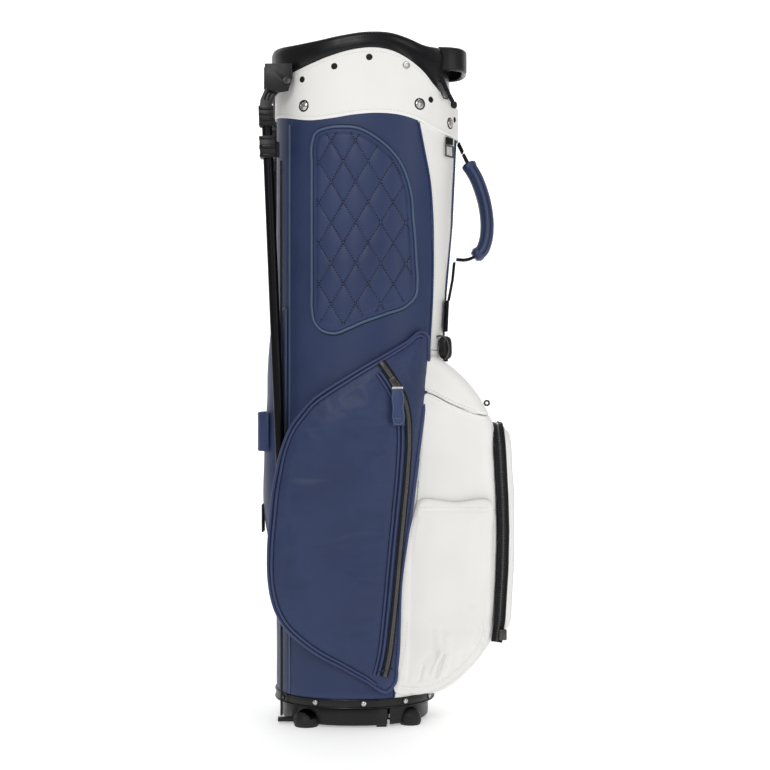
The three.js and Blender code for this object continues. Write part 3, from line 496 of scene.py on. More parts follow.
# ---------------------------------------------------------------- materials
class Finish:
    """A procedural material: helpers that add nodes to one Principled shader."""

    def __init__(self, name, **sockets):
        self.material = bpy.data.materials.new(name)
        self.material.use_nodes = True
        self.tree = self.material.node_tree
        self.shader = self.tree.nodes["Principled BSDF"]
        self.coords = self.tree.nodes.new("ShaderNodeTexCoord").outputs["Object"]
        self.normal = None
        for key, value in sockets.items():
            self.shader.inputs[key.replace("_", " ")].default_value = value

    def add(self, kind, links=(), **settings):
        node = self.tree.nodes.new(kind)
        for key, value in settings.items():
            if hasattr(node, key):
                setattr(node, key, value)
            else:
                node.inputs[key.replace("_", " ")].default_value = value
        for socket, source in dict(links).items():
            self.tree.links.new(source, node.inputs[socket])
        return node

    def noise(self, scale, detail=3.0, stretch=(1, 1, 1)):
        place = self.add("ShaderNodeMapping", {"Vector": self.coords}, Scale=stretch)
        return self.add("ShaderNodeTexNoise", {"Vector": place.outputs[0]}, Scale=scale,
                        Detail=detail).outputs["Fac"]

    def cells(self, scale, smooth=True):
        kind = "SMOOTH_F1" if smooth else "F1"
        return self.add("ShaderNodeTexVoronoi", {"Vector": self.coords}, feature=kind,
                        Scale=scale).outputs["Distance"]

    def waves(self, scale, direction, profile="SIN"):
        return self.add("ShaderNodeTexWave", {"Vector": self.coords}, wave_type="BANDS",
                        bands_direction=direction, wave_profile=profile,
                        Scale=scale).outputs["Fac"]

    def span(self, value, low, high, start=0.3, end=0.7):
        node = self.add("ShaderNodeMapRange", {"Value": value})
        for key, v in (("From Min", start), ("From Max", end), ("To Min", low), ("To Max", high)):
            node.inputs[key].default_value = v
        return node.outputs[0]

    def blend(self, factor, first, second):
        node = self.add("ShaderNodeMix", {}, data_type="RGBA")
        self.tree.links.new(factor, node.inputs[0])
        for socket, value in ((node.inputs[6], first), (node.inputs[7], second)):
            if isinstance(value, tuple):
                socket.default_value = (*value, 1)
            else:
                self.tree.links.new(value, socket)
        return node.outputs[2]

    def math(self, operation, a, b):
        node = self.add("ShaderNodeMath", {}, operation=operation)
        for socket, value in zip(node.inputs, (a, b)):
            if isinstance(value, (int, float)):
                socket.default_value = value
            else:
                self.tree.links.new(value, socket)
        return node.outputs[0]

    def bump(self, height, distance, strength=1.0):
        node = self.add("ShaderNodeBump", {"Height": height}, Strength=strength, Distance=distance)
        if self.normal:
            self.tree.links.new(self.normal, node.inputs["Normal"])
        self.normal = node.outputs["Normal"]

    def edges(self):
        """How sharp the surface is, from hollows at 0 to worn edges at 1."""
        return self.span(self.add("ShaderNodeNewGeometry").outputs["Pointiness"], 0, 1, 0.5, 0.56)

    def done(self, colour, roughness):
        self.tree.links.new(colour, self.shader.inputs["Base Color"])
        self.tree.links.new(roughness, self.shader.inputs["Roughness"])
        if self.normal:
            self.tree.links.new(self.normal, self.shader.inputs["Normal"])
        return self.material


def leather(name, colour, light, rough, grain, depth, **sockets):
    """Coated leather: a pebbled grain, cloudy colour and a polish that varies."""
    f = Finish(name, **sockets)
    pebbles = f.cells(grain)
    clouds = f.noise(14, 4)
    fine = f.noise(1900, 2)
    f.bump(pebbles, depth * MM, 0.6)
    f.bump(fine, 0.03 * MM, 0.5)
    tint = f.blend(f.span(clouds, 0, 1), colour, light)
    worn = f.blend(f.math("MULTIPLY", f.edges(), 0.35), tint, tuple(min(1, c * 1.7) for c in light))
    polish = f.math("ADD", f.span(clouds, rough - 0.05, rough + 0.05),
                    f.math("MULTIPLY", pebbles, 0.1))
    return f.done(worn, polish)


def plastic(name, colour, rough, grain=2600.0, depth=0.03, **sockets):
    """Moulded plastic or rubber: a fine spark-eroded texture with duller and polished patches."""
    f = Finish(name, **sockets)
    f.bump(f.noise(grain, 2), depth * MM, 0.6)
    patches = f.noise(60, 4)
    scuffs = f.blend(f.math("MULTIPLY", f.edges(), 0.5), colour,
                     tuple(min(1, c * 2.6 + 0.012) for c in colour))
    tint = f.blend(f.span(patches, 0, 0.35), scuffs, tuple(c * 0.7 for c in colour))
    return f.done(tint, f.span(patches, rough - 0.07, rough + 0.07))


def woven(name, colour, light, pitch, directions="XZ", rough=0.85, depth=0.25, **sockets):
    """Woven webbing or cloth: crossing ribs of that pitch, their tops painted lighter as a highlight and
    the hollows between them darker as shade.
    """
    f = Finish(name, **sockets)
    scale = 1000 / pitch / (2 * math.pi) * 2
    ribs = f.waves(scale, directions[0])
    picks = f.waves(scale * 1.15, directions[1])
    weave = f.math("MULTIPLY", ribs, picks)
    fuzz = f.noise(2400, 2)
    f.bump(weave, depth * MM, 0.9)
    f.bump(fuzz, 0.05 * MM, 0.6)
    # the weave pattern sets the colour: painted highlight on the rib tops, painted shade in the hollows
    tint = f.blend(weave, colour, light)
    return f.done(tint, f.span(fuzz, rough - 0.08, rough + 0.06))


def metal(name, colour, rough, brushed=(1, 1, 12), **sockets):
    """Plated or brushed metal: faint drawn lines and finger-dulled patches."""
    f = Finish(name, Metallic=1.0, **sockets)
    lines = f.noise(500, 3, brushed)
    f.bump(lines, 0.02 * MM, 0.5)
    patches = f.noise(90, 3)
    tint = f.blend(f.span(patches, 0, 0.5), colour, tuple(c * 0.72 for c in colour))
    return f.done(tint, f.math("ADD", f.span(patches, rough - 0.06, rough + 0.08),
                               f.math("MULTIPLY", lines, 0.05)))


NAVY = leather("navy_leather_fine", (0.021, 0.033, 0.086), (0.027, 0.042, 0.104), 0.40, 760, 0.10,
               Specular_IOR_Level=0.26)
NAVY_SMOOTH = leather("navy_leather_smooth", (0.021, 0.033, 0.094), (0.026, 0.040, 0.108), 0.36,
                      1100, 0.05, Specular_IOR_Level=0.4)
# a lighter copy of the navy leather: painted highlight on the round piping, rear welts, quilt tufts, grip
# seams and pull-tab borders
NAVY_PIPING_LIT = leather("navy_piping_painted_highlight", (0.036, 0.060, 0.118), (0.044, 0.070, 0.132), 0.36, 1200, 0.05)
# a near-black copy of the navy leather: painted shade in seam and quilt grooves, along the grip's folds
# and under the pad's piping
NAVY_PAINTED_SHADE = leather("navy_painted_shade", (0.006, 0.009, 0.024), (0.010, 0.014, 0.034), 0.6, 1200, 0.05,
                    Specular_IOR_Level=0.2)
WHITE = leather("white_leather_fine", (0.800, 0.789, 0.760), (0.832, 0.823, 0.799), 0.46, 800, 0.07,
                Specular_IOR_Level=0.3)
BLACK = plastic("black_plastic_moulded", (0.007, 0.007, 0.008), 0.36, Specular_IOR_Level=0.24)
BLACK_GLOSS = plastic("black_rim_plastic", (0.005, 0.005, 0.006), 0.30, 1500, 0.04,
                      Specular_IOR_Level=0.24)
RUBBER = plastic("black_rubber", (0.008, 0.008, 0.009), 0.55, 900, 0.12, Specular_IOR_Level=0.22)
WEBBING = woven("black_webbing", (0.006, 0.006, 0.007), (0.022, 0.022, 0.025), 2.0, "YZ",
                Specular_IOR_Level=0.15)
TAPE = woven("zip_tape", (0.008, 0.008, 0.009), (0.024, 0.024, 0.026), 1.1, "YZ", 0.7, 0.1,
             Specular_IOR_Level=0.15)
COIL = plastic("zip_coil", (0.030, 0.030, 0.032), 0.30, 3000, 0.02)
LINING = woven("lining_cloth", (0.020, 0.022, 0.028), (0.045, 0.048, 0.058), 1.6, "XZ", 0.9, 0.15)
TUBE = metal("anodised_leg", (0.016, 0.016, 0.018), 0.34)
WIRE = metal("dark_wire", (0.035, 0.034, 0.034), 0.36)
STEEL = metal("polished_steel", (0.56, 0.55, 0.53), 0.22)
GUNMETAL = metal("gunmetal", (0.10, 0.095, 0.092), 0.26)
THREAD = woven("navy_thread", (0.040, 0.055, 0.120), (0.080, 0.100, 0.180), 0.7, "XZ", 0.6, 0.08)
THREAD_DARK = woven("dark_thread", (0.006, 0.009, 0.024), (0.012, 0.017, 0.040), 0.7, "XZ", 0.6, 0.08)
THREAD_WHITE = woven("white_thread", (0.66, 0.65, 0.62), (0.80, 0.79, 0.77), 0.7, "XZ", 0.6, 0.08)


# ---------------------------------------------------------------- camera, stage and light
CAMERA_PLACE, CAMERA_LENS, SENSOR_WIDTH = (0.0, -2.25, 0.438), 78.98, 36.0  # metres, mm, mm
FLOOR_GLOW, WORLD_LIGHT = 0.42, 0.32
# each light's place and target in metres, its size, and its power in watts
LIGHTS = {
    "key": ((-0.7, -2.7, 1.9), (0, 0, 0.5), 1.1, 30),
    "fill": ((1.9, -1.9, 1.0), (0, 0, 0.45), 1.2, 11),
    "top": ((0.0, 0.2, 2.6), (0, 0, 0.4), 1.8, 15),
    "back": ((0.5, 2.4, 1.5), (0, 0, 0.5), 1.6, 8),
    "wall": ((0.0, 3.0, 3.2), (0, 6, 1.0), 3.0, 70),
}


def build_stage():
    camera = bpy.data.cameras.new("camera")
    camera.lens, camera.sensor_width = CAMERA_LENS, SENSOR_WIDTH
    holder = bpy.data.objects.new("camera", camera)
    holder.location = CAMERA_PLACE
    holder.rotation_euler = (math.radians(90), 0, 0)
    bpy.context.scene.collection.objects.link(holder)
    bpy.context.scene.camera = holder

    # a floor that sweeps up into a wall far behind the bag
    turn = np.linspace(0, math.pi / 2, 13)
    profile = [(-6.0, 0.0)] + [(4.0 + 2 * math.sin(t), 2 - 2 * math.cos(t)) for t in turn]
    profile.append((6.0, 7.0))
    rows = np.array([[(x, y, z) for x in (-9.0, 9.0)] for y, z in profile])
    mesh = bpy.data.meshes.new("floor")
    mesh.from_pydata(rows.reshape(-1, 3).tolist(), [], grid_faces(len(rows), 2).tolist())
    mesh.shade_smooth()
    pale = Finish("pale_floor")
    mottle = pale.noise(3, 2)
    pale.shader.inputs["Emission Color"].default_value = (1, 1, 1, 1)
    pale.shader.inputs["Emission Strength"].default_value = FLOOR_GLOW
    mesh.materials.append(pale.done(pale.blend(mottle, (0.84, 0.84, 0.84), (0.86, 0.86, 0.86)),
                                    pale.span(mottle, 0.6, 0.7)))
    floor = bpy.data.objects.new("floor", mesh)
    bpy.context.scene.collection.objects.link(floor)

    world = bpy.data.worlds.new("studio")
    world.use_nodes = True
    world.node_tree.nodes["Background"].inputs["Color"].default_value = (1.0, 1.0, 1.0, 1)
    world.node_tree.nodes["Background"].inputs["Strength"].default_value = WORLD_LIGHT
    bpy.context.scene.world = world
    for name, (place, target, size, power) in LIGHTS.items():
        lamp = bpy.data.lights.new(name, "AREA")
        lamp.shape, lamp.size, lamp.energy = "SQUARE", size, power
        obj = bpy.data.objects.new(name, lamp)
        obj.location = place
        obj.rotation_euler = (Vector(target) - Vector(place)).to_track_quat("-Z", "Y").to_euler()
        bpy.context.scene.collection.objects.link(obj)
    bpy.context.scene.view_settings.view_transform = "Standard"


build_stage()


# ---------------------------------------------------------------- body panels
def build_panels():
    seam = math.radians(0.12)

    def panel(rows, cols, from_angle, to_angle, seed):
        u = np.linspace(0, 1, rows)[:, None]
        v = np.linspace(0, 1, cols)[None, :]
        top = np.full((rows, cols), 780.0)
        for _ in range(4):
            z = PANEL_LOW + (top - PANEL_LOW) * u
            t = from_angle(z) + (to_angle(z) - from_angle(z)) * v
            top = cuff_low(oval(t, z)[..., 0]) + 6  # tucked under the cuff
        # the panel's edges turn in to the seam
        near = np.minimum(v, 1 - v) * 100
        turn_in = -0.9 * np.exp(-near * 1.6) + 0 * u
        outer = oval(t, z, turn_in)
        wave = ripple(outer, seed, 90, 0.28)
        outer = oval(t, z, turn_in + wave)
        return plate(outer, oval(t, z, -WALL))

    back = lambda z: angle_at(BACK_SEAM, z)
    edge = lambda z: angle_at(navy_edge(z), z)
    side = panel(130, 56, lambda z: back(z) + seam, lambda z: edge(z) - seam, 3)
    both("side_panel", side, NAVY, "navy_leather", "side_panel", angle=60)
    rear = panel(90, 44, lambda z: -2 * math.pi - back(z) + seam, lambda z: back(z) - seam, 5)
    make("back_panel_skin", rear, NAVY, "bag", "navy_leather", "back_panel", angle=60)
    spine = panel(130, 80, lambda z: edge(z) + seam, lambda z: -edge(z) - seam, 8)
    make("spine_panel_skin", spine, WHITE, "bag", "white_leather", "spine_panel", angle=60)

    # a fine welt closes each seam between navy and white, and one each rear seam, that one in the lighter
    # piping colour as a painted highlight
    z = np.arange(PANEL_LOW + 1, 775, 2.5)
    welt = oval(edge(z), z, 0.35)
    both("spine_welt", sweep(welt, circle(1.1, 8), (0, -1, 0)), NAVY, "navy_leather")
    welt = oval(back(z), z, 0.2)
    both("rear_welt", sweep(welt, circle(1.3, 8), (-0.7, -0.7, 0)), NAVY_PIPING_LIT, "navy_leather")

    # the navy strip down the spine, with a row of stitches along each edge
    z = np.arange(478, 764, 2.0)[:, None]
    t = np.radians(np.linspace(-8, 8, 15))[None, :]
    crown = 1.6 - 1.3 * np.abs(t / np.radians(8)) ** 6
    strip = plate(oval(t, z, 0.5 + crown), oval(t, z, -0.4 + 0 * crown))
    make("spine_strip_cover", strip, NAVY, "bag", "navy_leather", "spine_strip", angle=60)
    z = z[:, 0]
    rows = [stitch_row(oval(np.radians(a), z, 2.1), (1, 0, 0)) for a in (-6.6, 6.6)]
    make("spine_strip_stitches", tidy(rows), THREAD, "bag", "navy_leather", check=False)
    rows = []
    for turn in (1, -1):
        line = oval(edge(z) + math.radians(2.4), z, 0.25) * [1, turn, 1]
        up = unit(np.stack([line[:, 0] - middle_x(z), line[:, 1], 0 * z], -1))
        rows.append(stitch_row(line, up, 4.5, 2.8, 0.3))
    make("spine_edge_stitches", tidy(rows), THREAD_WHITE, "bag", "white_leather", check=False)


# ---------------------------------------------------------------- cuff, rim, divider
def around(height, grow, count=220, front=None, rear=REAR):
    """A ring round the body whose height is a function of x."""
    t = np.arange(count) / count * 2 * math.pi
    z = height(oval(t, 820, grow if np.isscalar(grow) else 0, front, rear)[:, 0])
    x = oval(t, z, 0, front, rear)[:, 0]
    z = height(x)
    return oval(t, z, grow(x) if callable(grow) else grow, front, rear)


def cuff_stand(x):
    return CUFF_OUT + 3 * np.clip((x - 60) / 40, 0, 1)


def phillips(centre, axis, radius, high=2.2, slot_depth=0.9):
    """A domed screw head with a crossed recess."""
    axis = unit(axis)
    u = unit(np.cross(axis, [0.2, 0.1, 1.0]))
    v = np.cross(axis, u)
    r = np.linspace(0.02, 1, 15)[:, None] * radius
    t = (np.arange(56) / 56 * 2 * math.pi)[None, :] + 0.35
    a, b = r * np.cos(t), r * np.sin(t)
    dome = high * (1 - (r / radius) ** 2.6) + 0 * t
    arm = (np.minimum(np.abs(np.cos(t)), np.abs(np.sin(t))) * r < radius * 0.13) & (r < radius * 0.62)
    dome = dome - slot_depth * arm
    face = centre + a[..., None] * u + b[..., None] * v + dome[..., None] * axis
    base = centre + (a[..., None] * u + b[..., None] * v)[-1:] - 1.2 * axis
    points = np.vstack([face, base])
    n, m = points.shape[:2]
    faces = list(grid_faces(n, m, wrap_cols=True))
    faces += [np.arange(m)[::-1], np.arange(m) + (n - 1) * m]
    return points.reshape(-1, 3), faces


def rivet(centre, axis, radius, high=1.6, pierced=False):
    if pierced:
        profile = [(0, -0.2), (radius * 0.42, -0.2), (radius * 0.5, high), (radius * 0.75, high * 1.1),
                   (radius * 0.95, high * 0.6), (radius, 0), (radius, -1.2), (0, -1.2)]
    else:
        profile = [(0, high), (radius * 0.45, high * 0.94), (radius * 0.8, high * 0.62),
                   (radius * 0.97, high * 0.2), (radius, -0.2), (radius, -1.2), (0, -1.2)]
    return lathe(profile, np.asarray(centre, float), axis)


def build_top():
    low = lambda x: cuff_low(x)
    high = lambda x: cuff_top(x)
    at = lambda share: (lambda x: low(x) + (high(x) - low(x)) * share)
    stand = lambda off: (lambda x: cuff_stand(x) + off)
    wall = lambda off: (lambda x: -WALL + off + 0 * x)
    rings = [around(lambda x: low(x) + 1.0, wall(0)), around(lambda x: low(x) + 0.1, stand(-1.6)),
             around(low, stand(-0.6)), around(lambda x: low(x) + 0.5, stand(-0.1)),
             around(lambda x: low(x) + 2.0, stand(0.15))]
    for share in np.linspace(0.08, 0.92, 14):
        rings.append(around(at(share), stand(0.25 * math.sin(math.pi * share))))
    rings += [around(lambda x: high(x) - 2, stand(0.1)), around(lambda x: high(x) - 0.5, stand(-0.1)),
              around(high, stand(-0.6)), around(lambda x: high(x), wall(0.8)),
              around(lambda x: high(x) - 0.8, wall(0))]
    rings += [around(at(0.5), wall(0))]
    rings = np.stack(rings)
    faces = grid_faces(*rings.shape[:2], wrap_rows=True, wrap_cols=True)
    make("cuff_skin", (rings.reshape(-1, 3), faces), WHITE, "bag", "white_leather", "cuff", angle=50)

    # two rows of stitches follow the cuff's edges
    x = np.arange(-140, 84, 2.0)
    parts = []
    z = np.arange(782, 824, 2.0)
    row = stitch_row(on_side(-127.5, z, cuff_stand(-127.5) + 0.35), side_normal(-127.5, z), 4.4, 2.9, 0.36)
    parts += [row, (row[0] * [1, -1, 1], row[1])]
    for share_of, gap in ((cuff_top, -5.0), (cuff_low, 4.5)):
        z = share_of(x) + gap
        line = on_side(x, z, cuff_stand(x) + 0.35)
        row = stitch_row(line, side_normal(x, z), 4.4, 2.9, 0.36)
        parts += [row, (row[0] * [1, -1, 1], row[1])]
    make("cuff_stitches", tidy(parts), THREAD_WHITE, "bag", "white_leather", check=False)

    # fasteners: small black screws, large Phillips screws and one bright rivet, on both sides
    black, bright, rivets = [], [], []
    for x, z in ((-105, 830), (-64, 843.5), (-20, 854.5), (57.5, 804.5), (87, 785)):
        n = side_normal(x, z)
        black.append(phillips(on_side(x, z, cuff_stand(x)), n, 4.3, 1.7, 0.8))
    for x, z in ((-103, 796), (43.5, 797.5), (81.5, 778.5)):
        n = side_normal(x, z)
        bright.append(phillips(on_side(x, z, cuff_stand(x) + 0.1), n, 6.3))
        rivets.append(lathe([(0, 0.5), (7.2, 0.5), (7.8, 0.2), (7.8, -1), (0, -1)],
                            on_side(x, z, cuff_stand(x)), n))
    x, z = 26.5, 845.5
    bright.append(rivet(on_side(x, z, cuff_stand(x)), side_normal(x, z), 5, 1.6, True))
    two = lambda parts: tidy([*parts, *[(p * [1, -1, 1], [list(g)[::-1] for g in f]) for p, f in parts]])
    make("cuff_small_screws", two(black), BLACK, "bag", "black_plastic", check=False)
    make("cuff_screws", two(bright), STEEL, "bag", "steel", check=False)
    make("cuff_washers", two(rivets), BLACK, "bag", "black_plastic", check=False)

    # a short strap down each side of the cuff's tail, with a metal loop and a button
    way = flow([(66, 838), (71, 829), (77, 816), (83, 806)], 1.5)
    line = on_side(way[:, 0], way[:, 1], cuff_stand(way[:, 0]) + 2.6)
    up = side_normal(way[:, 0], way[:, 1])
    both("tail_strap", sweep(line, rounded(7.5, 2.4, 1.0, 3), up), WEBBING, "webbing")
    loop = rounded(17, 24, 5, 5)
    x, z = 70.5, 819.0
    across = unit(np.cross((0, 0, 1), side_normal(x, z)))
    ring = on_side(x, z, cuff_stand(x) + 2.2) + loop[:, :1] * across * 0.6 + loop[:, 1:] * np.array(
        [0.35, 0, -0.94])
    both("tail_ring", sweep(ring, circle(1.0, 10), side_normal(x, z), closed=True), GUNMETAL, "gunmetal")
    x, z = 84.0, 803.0
    knob = [(0, 6.5), (3.2, 6.2), (4.6, 4.8), (4.8, 2.5), (3.6, 1.8), (3.6, -1), (0, -1)]
    both("tail_button", lathe(knob, on_side(x, z, cuff_stand(x)), side_normal(x, z)), BLACK,
         "black_plastic", check=False)

    # the moulded rim
    foot = lambda x: cuff_top(x) + 0.6
    shoulder = lambda x: cuff_top(x) + np.minimum(9, (rim_top(x) - cuff_top(x)) * 0.4)
    inside = {"front": RIM_FRONT, "rear": RIM_REAR}
    profile = np.stack([
        around(foot, -WALL - 1.6), around(foot, CUFF_OUT - 0.9),
        around(lambda x: foot(x) + 1.0, CUFF_OUT + 0.4, front=RIM_FRONT + 8),
        around(shoulder, 3.4, front=RIM_FRONT + 4, rear=RIM_REAR),
        around(lambda x: (shoulder(x) + rim_top(x) - 5) / 2, 3.2, **inside),
        around(lambda x: rim_top(x) - 5, 3, **inside), around(lambda x: rim_top(x) - 1.2, 1.2, **inside),
        around(rim_top, -2.2, **inside), around(lambda x: rim_top(x) - 0.8, -5.2, **inside),
        around(lambda x: rim_top(x) - 4, -7.4, **inside),
        around(lambda x: 855 + 0 * x, -RIM_WALL, **inside),
        around(lambda x: COLLAR_LOW + 0 * x, -RIM_WALL),
        around(lambda x: COLLAR_LOW + 0 * x, -WALL - 1.6),
    ])
    fine = []
    for j in range(profile.shape[1]):
        column = profile[:, j]
        d = np.concatenate([[0], np.cumsum(np.linalg.norm(np.diff(column[:10], axis=0), axis=1))])
        fine.append(flow(column[:10], d[-1] / 30)[:31])
    fine = np.stack(fine, 1)
    rings = np.concatenate([fine, profile[10:]])
    faces = grid_faces(*rings.shape[:2], wrap_rows=True, wrap_cols=True)
    make("rim_moulding", (rings.reshape(-1, 3), faces), BLACK_GLOSS, "bag", "black_plastic", "top_rim",
         angle=45)

    refine("top_divider", RUBBER, 1.6, segments=4)
    # the grab handle stands off the front of the rim, with a rolled edge above and below
    handle = flow([(70, -46.5, 864), (84, -44, 864), (97, -36, 864), (103.5, -22, 864),
                   (104.5, 0, 864), (103.5, 22, 864), (97, 36, 864), (84, 44, 864),
                   (70, 46.5, 864)], 2.0)
    make("grab_handle", sweep(handle, rounded(7, 29, 2.6), (0, 0, 1)), BLACK, "bag",
         "black_plastic", "top_handle")
    edge = [sweep(handle + [0, 0, z], circle(1.9, 10), (0, 0, 1)) for z in (-13.4, 13.4)]
    make("grab_handle_piping", tidy(edge), BLACK_GLOSS, "bag", "black_plastic", check=False)


# ---------------------------------------------------------------- leg bracket, legs and rods
LEG_RUN = unit(LEG_END - LEG_TOP)


def leg_at(z):
    return LEG_TOP + LEG_RUN * ((z - LEG_TOP[2]) / LEG_RUN[2])


def build_legs():
    refine("leg_bracket", BLACK, 1.7, segments=3)
    for side, turn in SIDES.items():
        flip = np.array([1, turn, 1])
        body = f"leg_{side}"
        refine(f"leg_knuckle_{side}", BLACK, 1.6, segments=3)
        refine(f"leg_clamp_{side}", BLACK, 1.2)
        refine(f"leg_pivot_screw_{side}", GUNMETAL, 0.8)

        # ribs on the sleeve and the clamp, each a rounded band round the leg
        bands = []
        for z, wide, deep, half in ((793, 18, 20, 1.5), (786, 18, 20, 1.5), (779, 18, 20, 1.5),
                                    (773, 18.6, 20.6, 1.2), (755, 20, 21, 1.6), (744, 20, 21, 2.6),
                                    (733, 20, 21, 1.6)):
            loop = rounded(wide, deep, 4.5, 5)
            middle = leg_at(z)
            ring = np.stack([middle[0] + loop[:, 0], middle[1] + loop[:, 1], 0 * loop[:, 0] + z], -1)
            bands.append(sweep(ring, rounded(1.6, half * 2, 0.7, 3), (0, 0, 1), closed=True))
        # arcs moulded into the elbow's near face
        centre = np.array([-137.0, -79.9, 802.0])
        for radius in (13.5, 18.0):
            t = np.radians(np.linspace(78, 172, 22))
            arc = centre + np.stack([radius * np.cos(t), 0 * t, radius * 1.15 * np.sin(t)], -1)
            bands.append(sweep(arc, circle(0.7, 8), (0, -1, 0)))
        part = tidy(bands)
        part = (part[0] * flip, part[1])
        make(f"leg_ribs_{side}", part, BLACK, body, "black_plastic", check=False)

        # the tube, with a rolled end, and its rubber foot
        line = np.array([leg_at(z) for z in np.linspace(789.5, 262, 60)]) * flip
        tube = sweep(line, circle(6.5, 28), (0, 1, 0), scale=domed(60, 0.002))
        make(f"leg_tube_fine_{side}", tube, TUBE, body, "leg_aluminium", f"leg_tube_{side}")
        profile = [(0, 0), (5.5, 0), (8.2, 1.5), (9.0, 5), (9.0, 12), (8.4, 13), (8.4, 15), (9, 16),
                   (9.0, 22), (8.4, 23), (8.4, 25), (9, 26), (9, 36), (8.7, 44), (8.0, 50), (7.0, 50.6),
                   (7.0, 23), (0, 23)]
        foot = lathe(profile, LEG_END * flip, -LEG_RUN * flip, 32)
        make(f"leg_foot_fine_{side}", foot, RUBBER, body, "rubber", f"leg_foot_{side}")

        # the wire rod
        rod = flow([(-134, -62, 10), (-134.2, -62, 300), (-134.5, -62, 700), (-134.5, -62, 728.5)], 6)
        make(f"rod_fine_{side}", sweep(rod * flip, circle(1.6, 12), (0, 1, 0)), WIRE,
             f"rod_{side}", "steel", f"actuator_rod_{side}")
    for side in SIDES:
        refine(f"stay_{side}", STEEL, 0.3)
    refine("full_length_divider", LINING, 0.2)


# ---------------------------------------------------------------- base
def build_base():
    refine("base_skirt", BLACK, 0.8)
    refine("foot_plate", BLACK, 1.0)
    refine("front_foot_block", BLACK, 1.0)
    refine("rear_rubber_foot", RUBBER, 0.8)
    refine("front_rubber_foot", RUBBER, 0.8)
    refine("foot_hinge_pin", STEEL, 0.4)

    # rivets through the skirt's band: a dark washer and a bright domed head
    heads, washers = [], []
    for x in (-132.0, -88.6, -27.0, 25.7, 56.5):
        z = 33.0
        n = side_normal(x, z)
        centre = on_side(x, z, 1.0)
        washers.append(lathe([(0, 0.9), (4.3, 0.9), (5.1, 0.4), (5.2, -1), (0, -1)], centre, n))
        heads.append(lathe([(0, 2.1), (1.6, 1.95), (2.9, 1.3), (3.5, 0.6), (3.5, -0.5), (0, -0.5)],
                           centre, n))
    mirror = lambda parts: tidy([*parts, *[flipped(p) for p in parts]])
    make("skirt_rivets", mirror(heads), STEEL, "bag", "steel", check=False)
    make("skirt_rivet_washers", mirror(washers), BLACK, "bag", "black_plastic", check=False)
    t = np.arange(240) / 240 * 2 * math.pi
    lips = [sweep(oval(t, z, 1.1), circle(0.9, 8), (0, 0, 1), closed=True) for z in (37.4, 27.2)]
    make("skirt_lips", tidy(lips), BLACK_GLOSS, "bag", "black_plastic", check=False)


# ---------------------------------------------------------------- soft pieces
def smooth(x):
    x = np.clip(x, 0, 1)
    return x * x * (3 - 2 * x)


def puffed(part, hold, pressure, growth, limit, frames=20):
    """Lets a closed soft form fill and crease under cloth simulation, and gives its new points.

    hold(points) is how firmly each point is sewn down, 0 to 1; no point moves further than limit.
    """
    points, faces = part
    mesh = bpy.data.meshes.new("sewing")
    mesh.from_pydata((points * MM).tolist(), [], facing_out(points, faces))
    obj = bpy.data.objects.new("sewing", mesh)
    bpy.context.scene.collection.objects.link(obj)
    group = obj.vertex_groups.new(name="sewn")
    for index, weight in enumerate(hold(points)):
        if weight > 0:
            group.add([index], float(weight), "REPLACE")
    cloth = obj.modifiers.new("cloth", "CLOTH")
    s = cloth.settings
    s.quality, s.mass = 6, 0.25
    s.tension_stiffness = s.compression_stiffness = 12
    s.shear_stiffness, s.bending_stiffness = 6, 0.6
    s.use_pressure, s.uniform_pressure_force = True, pressure
    s.shrink_min = -growth
    s.vertex_group_mass = "sewn"
    s.effector_weights.gravity = 0.0
    s.air_damping = 4.0
    cloth.collision_settings.use_collision = False
    cloth.point_cache.frame_start, cloth.point_cache.frame_end = 1, frames
    scene = bpy.context.scene
    for f in range(1, frames + 1):
        scene.frame_set(f)
    shaped = obj.evaluated_get(bpy.context.evaluated_depsgraph_get()).to_mesh()
    moved = np.array([tuple(v.co) for v in shaped.vertices]) / MM
    scene.frame_set(1)
    bpy.data.objects.remove(obj)
    shift = moved - points
    size = np.linalg.norm(shift, axis=1, keepdims=True)
    return points + shift * np.minimum(1, limit / np.maximum(size, 1e-9))


def subdivided(obj, levels=1):
    """Rounds a soft piece with an applied subdivision."""
    turn = obj.modifiers.new("round", "SUBSURF")
    turn.levels = turn.render_levels = levels
    turn.boundary_smooth = "PRESERVE_CORNERS"
    mesh = bpy.data.meshes.new_from_object(obj.evaluated_get(bpy.context.evaluated_depsgraph_get()))
    obj.modifiers.clear()
    mesh.shade_smooth()
    old, name = obj.data, obj.data.name
    obj.data = mesh
    bpy.data.meshes.remove(old)
    mesh.name = name
    return obj


QUILT_X, QUILT_Z, QUILT_AT = 30.7, 51.8, (-52.3, 722.1)


